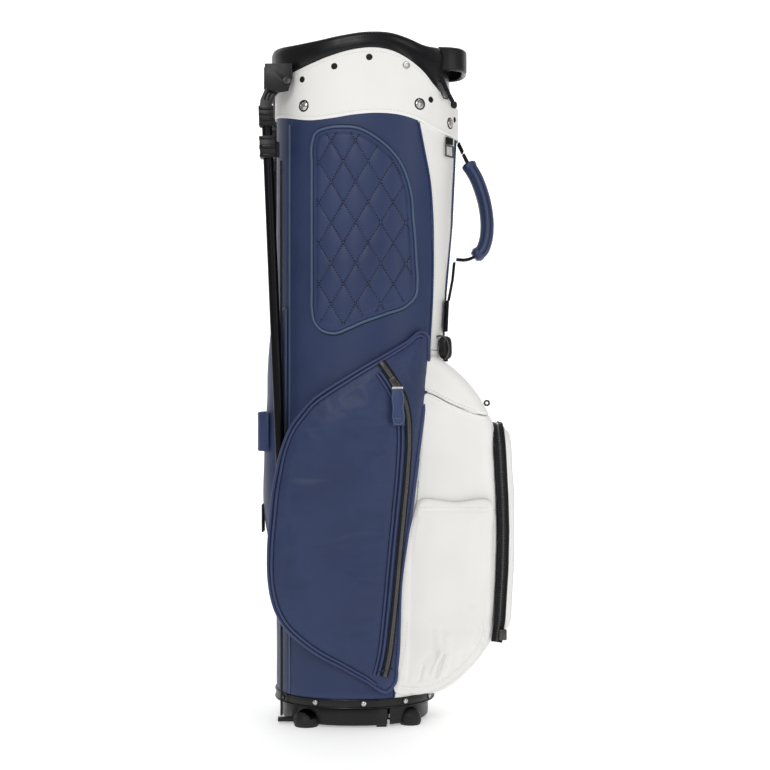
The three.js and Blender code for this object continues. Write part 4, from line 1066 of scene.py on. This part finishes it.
def build_quilted_pads():
    outline = flow(PAD_OUTLINE, 1.7, closed=True)

    def height(p, d):
        u = (p[:, 0] - QUILT_AT[0]) / QUILT_X + (p[:, 1] - QUILT_AT[1]) / QUILT_Z
        v = (p[:, 0] - QUILT_AT[0]) / QUILT_X - (p[:, 1] - QUILT_AT[1]) / QUILT_Z
        pillow = np.abs(np.sin(math.pi * u) * np.sin(math.pi * v)) ** 0.36
        filled = smooth((d - 5) / 7)
        return 1.2 + 3.4 * smooth(d / 5) - 0.9 * np.exp(-((d - 6.5) / 1.6) ** 2) + filled * 1.7 * pillow

    def face(p, d):
        q = upright(p)
        return on_side(p[:, 0], p[:, 1], height(p, d) + ripple(q, 11, 60, 0.35) * smooth(d / 12))

    pad = cushion(outline, 1.5, face, lambda p, d: on_side(p[:, 0], p[:, 1], 0.1 + 0 * d))
    for obj in both("quilted_pad_cover", pad, NAVY, "navy_leather", "quilted_pad", angle=0):
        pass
    up = side_normal(outline[:, 0], outline[:, 1])
    # the piping, in the lighter piping colour as a painted highlight
    tube = sweep(on_side(outline[:, 0], outline[:, 1], 2.2), circle(1.9, 10), up, closed=True)
    both("quilted_pad_piping", tube, NAVY_PIPING_LIT, "navy_leather")
    # a flat near-black band under the piping: painted shadow where the pad meets the panel
    seam = sweep(on_side(outline[:, 0], outline[:, 1], 0.3), circle(3.3, 8, 0.5), up, closed=True)
    both("quilted_pad_painted_shadow", seam, NAVY_PAINTED_SHADE, "navy_leather")

    # a row of stitches down each side of every diamond, over a near-black line of painted groove shade,
    # and a tuft, painted lighter as a highlight, where they cross
    rows, grooves = [], []
    reach = np.linspace(-110, 60, 900)
    for family in (1, -1):
        for k in range(-14, 8):
            z = QUILT_AT[1] + family * QUILT_Z * (k - (reach - QUILT_AT[0]) / QUILT_X)
            p = np.stack([reach, z], -1)
            near = (z > 500) & (z < 770)
            if not near.any():
                continue
            p = p[near]
            inside = inside_outline(p, outline)
            d = distance_to(p, outline)
            p = p[inside & (d > 6.5)]
            if len(p) < 12:
                continue
            up = side_normal(p[:, 0], p[:, 1])
            line = face(p, distance_to(p, outline))
            grooves.append(sweep((line + up * 0.25)[::4], circle(0.95, 6, 0.5), up[::4]))
            rows.append(stitch_row(line + up * 0.65, up, 3.6, 1.8, 0.52, 0.2))
    both("quilt_groove_painted_shade", tidy(grooves), NAVY_PAINTED_SHADE, "navy_leather", check=False, angle=0)
    both("quilt_stitches", tidy(rows), THREAD, "navy_leather", check=False, angle=0)
    tufts = []
    for i in range(-6, 8):
        for j in range(-10, 4):
            if (i + j) % 2:
                continue
            x, z = QUILT_AT[0] + i * QUILT_X / 2, QUILT_AT[1] + j * QUILT_Z / 2
            p = np.array([[x, z]])
            if not inside_outline(p, outline)[0] or distance_to(p, outline)[0] < 6:
                continue
            n = side_normal(x, z)
            centre = face(p, distance_to(p, outline))[0] + 0.5 * n
            tufts.append(lathe([(0, 0.55), (0.6, 0.45), (0.95, 0.1), (0, -0.3)], centre, n, 10))
    both("quilt_tufts", tidy(tufts), NAVY_PIPING_LIT, "navy_leather", check=False, angle=0)


POCKET_RISE = np.array([(0, 6), (1.2, 8.2), (4, 11), (9, 13.4), (16, 15.2), (28, 17), (40, 18),
                        (70, 18.6), (120, 18.8)], float)

PUFF_PRESSURE, PUFF_GROWTH, PUFF_LIMIT = 3.0, 0.006, 2.6  # the limit is in mm


def build_side_pockets():
    outline = flow(POCKET_OUTLINE, 4.5, closed=True)
    zipline = flow(SIDE_ZIP, 2.5)

    def off(p, d):
        q = upright(p)
        loose = smooth((d - 8) / 40) * smooth((distance_to(p, zipline, False) - 14) / 30)
        return np.interp(d, *POCKET_RISE.T) + ripple(q, 21, 120, 1.1) * loose

    def face(p, d):
        return np.stack([p[:, 0], -(pocket_y(p[:, 0], p[:, 1]) + off(p, d)), p[:, 1]], -1)

    def back(p, d):
        deep = np.maximum(half_y(p[:, 0], p[:, 1]) + 0.5, 68)
        return np.stack([p[:, 0], -deep, p[:, 1]], -1)

    flat, faces, n = fill(outline, 5.0)
    d = distance_to(flat, outline)
    zd = distance_to(flat, zipline, False)
    m = len(flat)
    loop = [[i, (i + 1) % n, (i + 1) % n + m, i + m] for i in range(n)]
    part = (np.vstack([face(flat, d), back(flat, d)]),
            [f[::-1] for f in faces] + [[i + m for i in f] for f in faces] + loop)
    sewn = np.concatenate([1 - smooth((d - 5) / 16) * smooth((zd - 9) / 16), np.ones(m)])
    points = puffed(part, lambda p: sewn, PUFF_PRESSURE, PUFF_GROWTH, PUFF_LIMIT)
    keep = points[:m].copy()
    keep[:, 1] = np.minimum(keep[:, 1], -(half_y(keep[:, 0], keep[:, 2]) + 3))
    points = np.vstack([keep, part[0][m:]])
    for obj in both("side_pocket_shell", (points, part[1]), NAVY, "navy_leather", "side_pocket", angle=0):
        subdivided(obj)

    def surface(p, lift=0.0):
        """Points of the pocket's face at p, and the direction out of it."""
        at = lambda q: face(q, distance_to(q, outline))
        e = 0.8
        du = at(p + [e, 0]) - at(p - [e, 0])
        dv = at(p + [0, e]) - at(p - [0, e])
        n = unit(np.cross(du, dv))
        n = np.where(n[:, 1:2] > 0, -n, n)
        return at(p) + n * lift, n

    # piping round the edge, and a second line inside the zipper with a near-black line of painted seam
    # shade on each side of it
    edge = flow(POCKET_OUTLINE, 2.5, closed=True)
    ring = np.stack([edge[:, 0], -(pocket_y(edge[:, 0], edge[:, 1]) + 6.4), edge[:, 1]], -1)
    both("side_pocket_piping", sweep(ring, circle(2.4, 10), (0, -1, 0), closed=True), NAVY_SMOOTH,
         "navy_leather")
    middle = np.array([-45.0, 275.0])
    right = [(4, 49), (15, 85), (20, 184), (32, 270), (42, 346), (49, 398), (56, 490)]
    open_edge = (distance_to(edge, np.array(right, float), False) > 7) & (edge[:, 0] < 44)
    first = int(np.nonzero(~open_edge)[0].max()) + 1
    edge = np.roll(edge, -first, axis=0)[:int(open_edge.sum())]
    for k, gap in enumerate((3.2, 7.4)):
        inner = edge + unit(middle - edge) * gap
        line, up = surface(inner, 0.25)
        both(f"side_pocket_seam_{k + 1}", sweep(line, circle(0.7, 6), up), NAVY_PAINTED_SHADE,
             "navy_leather")
    inner = edge + unit(middle - edge) * 5.3
    line, up = surface(inner, -0.2)
    both("side_pocket_piping_inner", sweep(line, circle(1.9, 10), up), NAVY_SMOOTH,
         "navy_leather")
    run = unit(np.gradient(zipline, axis=0))
    aside = np.stack([run[:, 1], -run[:, 0]], -1)
    aside = np.where(aside[:, :1] > 0, -aside, aside)
    for k, shift in enumerate((8.0, 13.0)):
        line, up = surface(zipline[4:] + aside[4:] * shift, 0.5)
        both(f"side_zip_piping_{k + 1}", sweep(line, circle(1.7 - 0.3 * k, 10), up), NAVY_SMOOTH,
             "navy_leather")
    # near-black lines of painted shade in the grooves beside the zipper's piping
    for k, shift in enumerate((6.4, 10.2, 14.6)):
        line, up = surface(zipline[4:] + aside[4:] * shift, 0.3)
        both(f"side_zip_seam_{k + 1}", sweep(line, circle(0.6, 6), up), NAVY_PAINTED_SHADE, "navy_leather")

    # the zipper: a tape with a raised coil
    line, up = surface(zipline, 0.7)
    both("side_zip_tape", sweep(line, rounded(11.5, 1.2, 0.5, 2), up), TAPE, "webbing")
    both("side_zip_coil", sweep(line + up * 0.8, circle(2.6, 10, 1.1), up), COIL, "black_plastic")
    stop, up_stop = surface(np.array([(-8.5, 76.0), (-2, 77), (8.5, 78.0)]), 1.6)
    both("side_zip_stop", sweep(stop, circle(1.3, 8), up_stop), BLACK, "black_plastic")
    fine = flow(SIDE_ZIP, 1.0)
    line, up = surface(fine, 1.9)
    teeth = stitch_row(line, up, 1.7, 1.0, 0.6, 0.1)
    both("side_zip_teeth", teeth, GUNMETAL, "black_plastic", check=False)
    for k, shift in enumerate((4.6, -4.6)):
        sideways = unit(np.cross(up, unit(np.gradient(line, axis=0))))
        row = stitch_row(line - up * 1.0 + sideways * shift, up, 3.6, 2.2, 0.28, 0.1)
        both(f"side_zip_stitches_{k + 1}", row, THREAD_DARK, "navy_leather", check=False)


def build_hip_pad():
    z = np.concatenate([[186.5, 187.5], np.linspace(190, 535, 80), [537, 538]])[:, None]
    v = np.concatenate([[0, 0.004], np.linspace(0.012, 0.988, 52), [0.996, 1]])[None, :]
    t = math.pi + np.radians(-34 + 68 * v)
    crown = np.sin(math.pi * np.clip(v, 0.0005, 0.9995)) ** 0.5
    ends = np.sqrt(np.clip(1 - (1 - np.clip(np.minimum(z - 186, 538.5 - z) / 5, 0, 1)) ** 2, 0, 1))
    outer = oval(t, z, 0.6 + (1.2 + hip_depth(z) * crown) * ends)
    outer = oval(t, z, 0.6 + (1.2 + hip_depth(z) * crown + ripple(outer, 31, 70, 0.6) * crown) * ends)
    pad = make("hip_pad_cover", plate(outer, oval(t, z, 0.2)), NAVY, "bag", "navy_leather", "hip_pad",
               angle=0)
    # piping round the pad, in the lighter piping colour as a painted highlight
    sides = [(math.pi + math.radians(a), np.linspace(187, 537, 160)) for a in (-34, 34)]
    tubes = [sweep(oval(a, zz, 1.9), circle(1.9, 10), (-1, 0, 0)) for a, zz in sides]
    turns = math.pi + np.radians(np.linspace(-34, 34, 70))
    tubes += [sweep(oval(turns, zz, 1.9), circle(1.9, 10), (0, 0, 1)) for zz in (187, 537)]
    make("hip_pad_piping", tidy(tubes), NAVY_PIPING_LIT, "bag", "navy_leather", check=False)

    # the loop band behind it, with stitched edges
    half = [(-152, -44), (-156, -43.6), (-160, -41), (-163.5, -37.5), (-165.6, -32), (-166.2, -20),
            (-166.2, 0)]
    way = flow([(x, y, 377) for x, y in half + [(x, -y) for x, y in half[-2::-1]]], 1.5)
    band = sweep(way, rounded(2.2, 51, 1.0, 4), (0, 0, 1))
    make("rear_loop_band", band, NAVY, "bag", "navy_leather", "rear_loop", angle=60)
    out = unit(np.cross(unit(np.gradient(way, axis=0)), (0, 0, 1)))
    out = np.where(out[:, :1] > 0, -out, out)
    rows = [stitch_row(way[4:-4] + out[4:-4] * 1.15 + [0, 0, h], out[4:-4], 4.2, 2.8, 0.36)
            for h in (-22.5, 22.5)]
    make("rear_loop_stitches", tidy(rows), THREAD, "bag", "navy_leather", check=False)
    refine("rear_bumper", RUBBER, 1.0)


# ---------------------------------------------------------------- ball pocket and its zipper
def crease(p, line, width, depth):
    return depth * np.exp(-(distance_to(p, np.asarray(line, float), False) / width) ** 2)


BULGE_LINE = flow(BULGE, 3.0)
SEAM_LINE = flow(POCKET_SEAM, 3.0)
bulge_x = lambda z: np.interp(z, *np.array([(60, 100), (91, 128), (106, 137), (136, 141), (202, 145),
                                            (250, 146), (290, 145), (350, 142), (391, 139)], float).T)


def pocket_body(outline, extra=None, half=POCKET_HALF, spacing=3.0, soft=16.0, seed=41):
    """A soft box between two mirrored faces, its rim rounded and its back laid on the body."""

    def face(p, d):
        edge = distance_to(p, BULGE_LINE, False)
        turn = edge_turn(edge, soft)
        q = upright(p)
        y = half - turn + 1.6 * smooth((edge - 6) / 30) + ripple(q, seed, 70, 0.8) * smooth(edge / 25)
        if extra:
            y = y + extra(p)
        x = np.maximum(p[:, 0], nose_x(y, p[:, 1]) + 0.7)
        return np.stack([x, -y, p[:, 1]], -1)

    def back(p, d):
        q = face(p, d)
        return q * [1, -1, 1]

    flat, faces, n = fill(outline, spacing)
    d = distance_to(flat, outline)
    near, far = face(flat, d), back(flat, d)
    m, strips = len(flat), 24
    rim = []
    for i in range(1, strips):
        share = i / strips
        row = near[:n] * (1 - share) + far[:n] * share
        lift = 1.4 * math.sin(math.pi * share)
        row[:, 0] += lift * (flat[:n, 0] > 95)
        row[:, 0] = np.maximum(row[:, 0], nose_x(row[:, 1], row[:, 2]) + 0.7)
        rim.append(row)
    points = np.vstack([near, far, *rim])
    start = lambda k: 0 if k == 0 else (m if k == strips else 2 * m + (k - 1) * n)
    faces = [f[::-1] for f in faces] + [[i + m for i in f] for f in faces]
    for k in range(strips):
        a, b = start(k), start(k + 1)
        faces += [[a + i, a + (i + 1) % n, b + (i + 1) % n, b + i] for i in range(n)]
    return points, faces, face


def build_ball_pocket():
    seam_top = SEAM_LINE[::-1]
    cut = BULGE_LINE[:, 1] < np.interp(BULGE_LINE[:, 0], SEAM_LINE[:, 0], SEAM_LINE[:, 1])
    below, above = BULGE_LINE[cut], BULGE_LINE[~cut]
    inner = seam_top[(seam_top[:, 0] < below[-1, 0] - 2) & (seam_top[:, 0] > 42)]
    roll = lambda p: -2.6 * np.exp(-(distance_to(p, SEAM_LINE, False) / 2.6) ** 2)
    closing = [(30, z) for z in np.arange(430, 44, -6.0)]
    lower = np.vstack([below, inner - [0, 0.5], closing])
    points, faces, low_face = pocket_body(lower, roll)
    make("ball_pocket_shell", (points, faces), WHITE, "bag", "white_leather", "ball_pocket", angle=0)
    above = above[above[:, 0] > 44]
    inner = SEAM_LINE[(SEAM_LINE[:, 0] < above[0, 0] - 2) & (SEAM_LINE[:, 0] > 42)]
    upper = np.vstack([above, inner + [0, 0.5]])
    points, faces, up_face = pocket_body(upper, roll, seed=43)
    make("upper_pocket_shell", (points, faces), WHITE, "bag", "white_leather", "upper_pocket", angle=0)

    # the seam between them: a rolled edge and a row of stitches above it
    s = SEAM_LINE[(SEAM_LINE[:, 0] > 52) & (SEAM_LINE[:, 0] < 131)]
    welt = low_face(s - [0, 3.0], 0) + [0, -0.2, 0]
    above_row = up_face(s + [0, 5.0], 0) + [0, -0.35, 0]
    both("pocket_seam_welt", sweep(welt, circle(1.5, 10), (0, -1, 0)), WHITE, "white_leather")
    both("pocket_seam_stitches", stitch_row(above_row, (0, -1, 0), 4.4, 2.9, 0.4), THREAD_WHITE,
         "white_leather", check=False)
    way = BULGE_LINE[(BULGE_LINE[:, 1] < 98) & (BULGE_LINE[:, 0] > 45)]
    hem = way + unit(np.array([60, 330]) - way) * 9
    both("ball_pocket_hem", stitch_row(low_face(hem, 0) + [0, -0.3, 0], (0, -1, 0), 4.4, 2.9, 0.36),
         THREAD_WHITE, "white_leather", check=False)
    make("top_pull_ring", sweep_ring((135.6, 0, 414.0), 3.1, 1.3, (0, 1, 0), 4.6), RUBBER, "top_pull",
         "rubber", "top_pull")


def sweep_ring(centre, radius, wire, axis, wide=None):
    """A ring of round or flattened wire about an axis."""
    axis = unit(axis)
    u = unit(np.cross(axis, [0.1, 0.2, 1.0]))
    v = np.cross(axis, u)
    t = np.arange(40) / 40 * 2 * math.pi
    path = np.asarray(centre) + radius * (np.cos(t)[:, None] * u + np.sin(t)[:, None] * v)
    return sweep(path, circle(wire, 10, wide or wire), axis, closed=True)


def zip_path(spacing=2.0):
    """The ball pocket's zipper in (y, z): an inverted U with rounded corners."""
    turn = np.radians(np.linspace(180, 90, 16))
    corner = np.stack([-38 + 30 * np.cos(turn), 358 + 30 * np.sin(turn)], -1)
    half = np.vstack([[(-68, z) for z in np.arange(106, 357, 6.0)], corner,
                      [(y, 388) for y in np.arange(-34, 1, 4.0)]])
    full = np.vstack([half, (half * [-1, 1])[-2::-1]])
    d = np.concatenate([[0], np.cumsum(np.linalg.norm(np.diff(full, axis=0), axis=1))])
    even = np.linspace(0, d[-1], int(d[-1] / spacing))
    p = np.stack([np.interp(even, d, full[:, k]) for k in (0, 1)], -1)
    run = unit(np.gradient(p, axis=0))
    out = np.stack([-run[:, 1], run[:, 0]], -1)
    return p, out


PANEL_BACK, PANEL_PIPING = 13.9, 15.6  # how far they stand in front of the pocket
PANEL_SOFT = 16  # radius of the panel's rounded rim


def build_ball_zip():
    p, out = zip_path()
    at = lambda x, lift: np.stack([bulge_x(p[:, 1]) + x, p[:, 0] + out[:, 0] * lift,
                                   p[:, 1] + out[:, 1] * lift], -1)
    up = np.stack([0 * out[:, 0], out[:, 0], out[:, 1]], -1)
    # the tape between the pocket and its front panel, with a raised line along both of its edges
    section = [(-7.2, -3), (-7.2, 0.4), (-6.6, 1.0), (-5.6, 1.0), (-5.0, 0.2), (-3.4, 0), (3.4, 0),
               (5.0, 0.2), (5.6, 1.0), (6.6, 1.0), (7.2, 0.4), (7.2, -3)]
    tape = sweep(at(7.2, 0), section[::-1], up)
    make("ball_zip_band", tape, TAPE, "bag", "webbing", "ball_zip_tape", angle=50)
    teeth = []
    straight = p[:, 1] < 372
    run = np.nonzero(straight)[0]
    groups = np.split(run, np.nonzero(np.diff(run) > 1)[0] + 1)
    for x in (5.4, 9.0):
        for g in groups:
            path = at(x, 0.4)[g]
            bar = stitch_row(path, up[g], 3.4, 2.0, 0.85, 0.25)
            teeth.append(bar)
    make("ball_zip_teeth", tidy(teeth), GUNMETAL, "bag", "black_plastic", check=False)
    coil = sweep(at(7.2, 0.15), circle(1.1, 8, 0.5), up)
    make("ball_zip_coil", coil, COIL, "bag", "black_plastic")

    # the padded front panel
    outline = evenly(rounded(132, 268, 26, 12) + [0, 248], 3.0)

    def face(q, d):
        x = bulge_x(q[:, 1]) + PANEL_BACK
        turn = PANEL_SOFT - np.minimum(d, PANEL_SOFT)
        rise = 2.2 + np.sqrt(np.maximum(PANEL_SOFT**2 - turn**2, 0)) * 0.44
        w = np.stack([0 * d, q[:, 0], q[:, 1]], -1)
        return np.stack([x + rise + ripple(w, 51, 60, 0.7) * smooth(d / 20), q[:, 0], q[:, 1]], -1)

    back = lambda q, d: np.stack([bulge_x(q[:, 1]) + PANEL_BACK, q[:, 0], q[:, 1]], -1)
    panel = make("ball_pocket_panel", cushion(outline, 3.5, face, back), WHITE, "bag",
                 "white_leather", "ball_pocket_front", angle=0)
    ring = np.stack([bulge_x(outline[:, 1]) + PANEL_PIPING, outline[:, 0], outline[:, 1]], -1)
    make("ball_panel_piping", sweep(ring, circle(1.7, 10), (1, 0, 0), closed=True), WHITE, "bag",
         "white_leather")
    middle = np.array([0, 248])
    inset = middle + (outline - middle) * [0.9, 0.95]
    row = face(inset, distance_to(inset, outline))
    make("ball_panel_stitches", stitch_row(row, (1, 0, 0), 4.4, 2.9, 0.4), THREAD_WHITE, "bag",
         "white_leather", check=False)
    refine("ball_zip_slider", GUNMETAL, 1.6, segments=3)


GUSSET_SOFT = 7  # radius of the pouch's rounded rim


def build_gusset():
    outline = flow(GUSSET, 2.2, closed=True)
    darts = [([(76, 92), (71, 79), (65, 64)], 1.4, -4.5), ([(129, 124), (124, 100)], 1.4, -3.6),
             ([(72, 96), (66, 82), (60, 68)], 3.2, 2.2), ([(80, 92), (76, 78), (71, 66)], 3.2, 2.4),
             ([(124, 128), (119, 106)], 3.2, 1.6), ([(48, 78), (44, 60)], 1.5, -2.2),
             ([(99, 96), (93, 76)], 4.5, -1.6), ([(21.5, 112), (19.5, 80), (18, 50)], 1.5, -1.6),
             ([(66, 120), (72, 92)], 5.0, 1.8), ([(80, 116), (77, 92)], 5.0, 1.6),
             ([(60, 96), (48, 84), (40, 60)], 5.0, -1.4), ([(114, 150), (127, 124)], 6.0, 1.6),
             ([(50, 140), (64, 122), (104, 128)], 9.0, -1.1)]

    def face(p, d):
        turn = edge_turn(d, GUSSET_SOFT)
        q = upright(p)
        y = 84.6 - turn * 0.7 + 2.2 * smooth((d - 4) / 30) + ripple(q, 61, 55, 0.9) * smooth((d - 3) / 15)
        for line, width, depth in darts:
            y = y + crease(p, line, width, depth)
        y = y + crease(p, [(27.5, 110), (27, 180), (34, 229), (41, 268)], 2.0, -0.9)
        hem = -0.9 * np.exp(-((d - 9.5) / 1.1) ** 2) * (p[:, 1] < 130)
        top = -0.9 * np.exp(-((p[:, 1] - 277.5) / 1.2) ** 2)
        y = y + hem + top
        y = np.maximum(y, half_y(np.minimum(p[:, 0], 63), p[:, 1]) + 1.8 + 1.5 * smooth(d / 6))
        return np.stack([p[:, 0], -y, p[:, 1]], -1)

    def back(p, d):
        y = np.where(p[:, 0] < 62, half_y(np.minimum(p[:, 0], 62), p[:, 1]) + 0.2, 60)
        return np.stack([p[:, 0], -np.maximum(y, 66), p[:, 1]], -1)

    both("gusset_shell", cushion(outline, 1.9, face, back), WHITE, "white_leather", "gusset_pouch",
         angle=0)
    bottom = (outline[:, 1] < 130) & (outline[:, 0] > 16)
    middle = np.array([78.0, 170.0])
    hem = outline + unit(middle - outline) * 11
    run = np.nonzero(bottom)[0]
    groups = np.split(run, np.nonzero(np.diff(run) > 1)[0] + 1)
    rows = [stitch_row(face(hem[g], distance_to(hem[g], outline)) + [0, -0.3, 0], (0, -1, 0), 4.4, 2.9,
                       0.34) for g in groups if len(g) > 4]
    top = np.stack([np.arange(44, 134, 2.0), np.full(45, 280.5)], -1)
    rows.append(stitch_row(face(top, distance_to(top, outline)) + [0, -0.2, 0], (0, -1, 0), 4.4, 2.9,
                           0.34))
    both("gusset_stitches", tidy(rows), THREAD_WHITE, "white_leather", check=False)


# ---------------------------------------------------------------- carry handle, rings and pulls
def build_handle():
    path = flow([(110.2, 0, 733.5)] + [(x, 0, z) for x, z in GRIP], 1.6)
    n = len(path)
    size = 0.72 + 0.28 * domed(n, 0.09)
    t = np.arange(48) / 48 * 2 * math.pi
    section = np.stack([9.0 * np.sign(np.cos(t)) * np.abs(np.cos(t)) ** 0.9,
                        15.4 * np.sign(np.sin(t)) * np.abs(np.sin(t)) ** 0.85], -1)
    grip = sweep(path, section, (0, 1, 0), scale=size)
    cover = make("handle_grip_cover", grip, NAVY, "carry_handle", "navy_leather", "handle_grip",
                 angle=50)
    run = unit(np.gradient(path, axis=0))
    out = np.stack([-run[:, 2], 0 * run[:, 0], run[:, 0]], -1)
    mid = slice(5, n - 5)
    rows = []
    for y in (-1, 1):
        for side in (-1, 1):
            line = path + out * side * 5.6 * size[:, None] + [0, y * 12.6, 0] * size[:, None]
            rows.append(stitch_row(line[mid], unit(out * side * 0.6 + [0, y, 0])[mid], 4.0, 2.7, 0.4))
    make("handle_grip_stitches", tidy(rows), THREAD, "carry_handle", "navy_leather", check=False)
    # seams along the grip, in the lighter piping colour as a painted highlight
    seam = [sweep((path + [0, y * 15.2, 0] * size[:, None])[4:-4], circle(1.1, 8), (0, 1, 0))
            for y in (-1, 1)]
    make("handle_grip_seams", tidy(seam), NAVY_PIPING_LIT, "carry_handle", "navy_leather", check=False)
    # near-black lines of painted shade along the grip's folded edges
    folds = [sweep((path + out * 3.4 * size[:, None] * side + [0, y * 14.3, 0] * size[:, None])[4:-4],
                   circle(0.6, 6), (0, 1, 0)) for y in (-1, 1) for side in (-1, 1)]
    make("handle_grip_fold_shade", tidy(folds), NAVY_PAINTED_SHADE, "carry_handle", "navy_leather", check=False)
    collars = []
    for i, j in ((1, 6), (n - 7, n - 2)):
        collars.append(sweep(path[i:j], section * 1.06, (0, 1, 0), scale=0.97 + 0.05 * domed(j - i, 0.4)))
    make("handle_grip_collars", tidy(collars), NAVY_SMOOTH, "carry_handle", "navy_leather", check=False)

    line = flow([(104.3, 0, 745), (107.5, 0, 738.5)] + [(x, 0, z) for x, z in GRIP]
                + [(108, 0, 604.6), (95, 0, 605)], 2.0)
    share = np.linspace(0, 1, len(line))
    narrow = 1 - 0.3 * np.maximum(0, np.abs(share - 0.5) * 2 - 0.8) / 0.2
    scale = np.stack([np.ones_like(narrow), narrow], -1)
    make("handle_strap", sweep(line, rounded(3.2, 25, 1.1, 3), (0, 1, 0), scale=scale), WEBBING,
         "carry_handle", "webbing", "handle_webbing")
    refine("handle_tab_upper", WEBBING, 0.7)
    refine("handle_tab_lower", WEBBING, 0.7)
    for side in SIDES:
        refine(f"strap_ring_{side}", GUNMETAL, 0.7, segments=3)
        refine(f"ring_tab_{side}", WEBBING, 0.5)
        refine(f"side_zip_slider_{side}", GUNMETAL, 1.1, segments=3)
        refine(f"side_zip_pull_{side}", NAVY_SMOOTH, 0.9, segments=3)
    refine("lower_strap", WEBBING, 0.5)
    # the lug and its two-wire ring, one piece that hangs from the lower strap
    x = float(nose_x(-42.0, 486.0)) + 9.5
    profile = [(0, 16), (3.5, 15.6), (6.6, 13.8), (8.2, 10.6), (8.6, 6), (8.6, -5), (8.0, -9.6),
               (6.4, -12.6), (3.2, -14.4), (2.6, -17.4), (0, -17.6)]
    lug = lathe(profile, np.array([x, -43.0, 486.0]), (-0.04, 0, 1), 28)
    t = np.arange(56) / 56 * 2 * math.pi
    wires = []
    for shift in (-1.7, 1.7):
        ring = np.stack([x - 7.2 + 11.2 * np.cos(t), -47.5 + shift - 4.6 * np.cos(t),
                         485.5 + 16.5 * np.sin(t)], -1)
        wires.append(sweep(ring, circle(1.15, 10), (0.4, -0.9, 0), closed=True))
    make("lower_lug", lug, BLACK, "lower_ring", "black_plastic", "lower_ring")
    make("lower_wires", tidy(wires), GUNMETAL, "lower_ring", "gunmetal", check=False)

    # a border of thread and a raised edge on both pull tabs, both in the lighter piping colour as a
    # painted highlight, and their metal bars
    y = -float(pocket_y(12.0, 441.0)) - 21.2
    line = lambda pts: flow([(x, y - 6.5, z) for x, z in pts], 1.5, closed=True)
    border = line([(10.2, 428), (10.6, 410), (11.2, 392), (12.4, 390), (21.4, 390), (22.8, 392),
                   (22.3, 410), (21.8, 428), (20.4, 430.4), (11.6, 430.4)])
    both("side_pull_border", sweep(border, circle(0.8, 8), (0, -1, 0), closed=True), NAVY_PIPING_LIT,
         "navy_leather", body="side_pull")
    cross = np.array([(11.4, y - 6.5, 396.5), (22.4, y - 6.5, 396.2)])
    cross = np.linspace(cross[0], cross[1], 8)
    both("side_pull_seam", sweep(cross, circle(0.6, 8), (0, -1, 0)), NAVY_PIPING_LIT, "navy_leather",
         body="side_pull")
    bar = np.linspace((8.8, y - 4.9, 434.2), (22.6, y - 4.9, 434.6), 12)
    both("side_pull_bar", sweep(bar, circle(1.9, 12), (0, -1, 0)), STEEL, "gunmetal", body="side_pull")


build_panels()
build_top()
build_legs()
build_base()
build_quilted_pads()
build_side_pockets()
build_hip_pad()
build_ball_pocket()
build_ball_zip()
build_gusset()
build_handle()
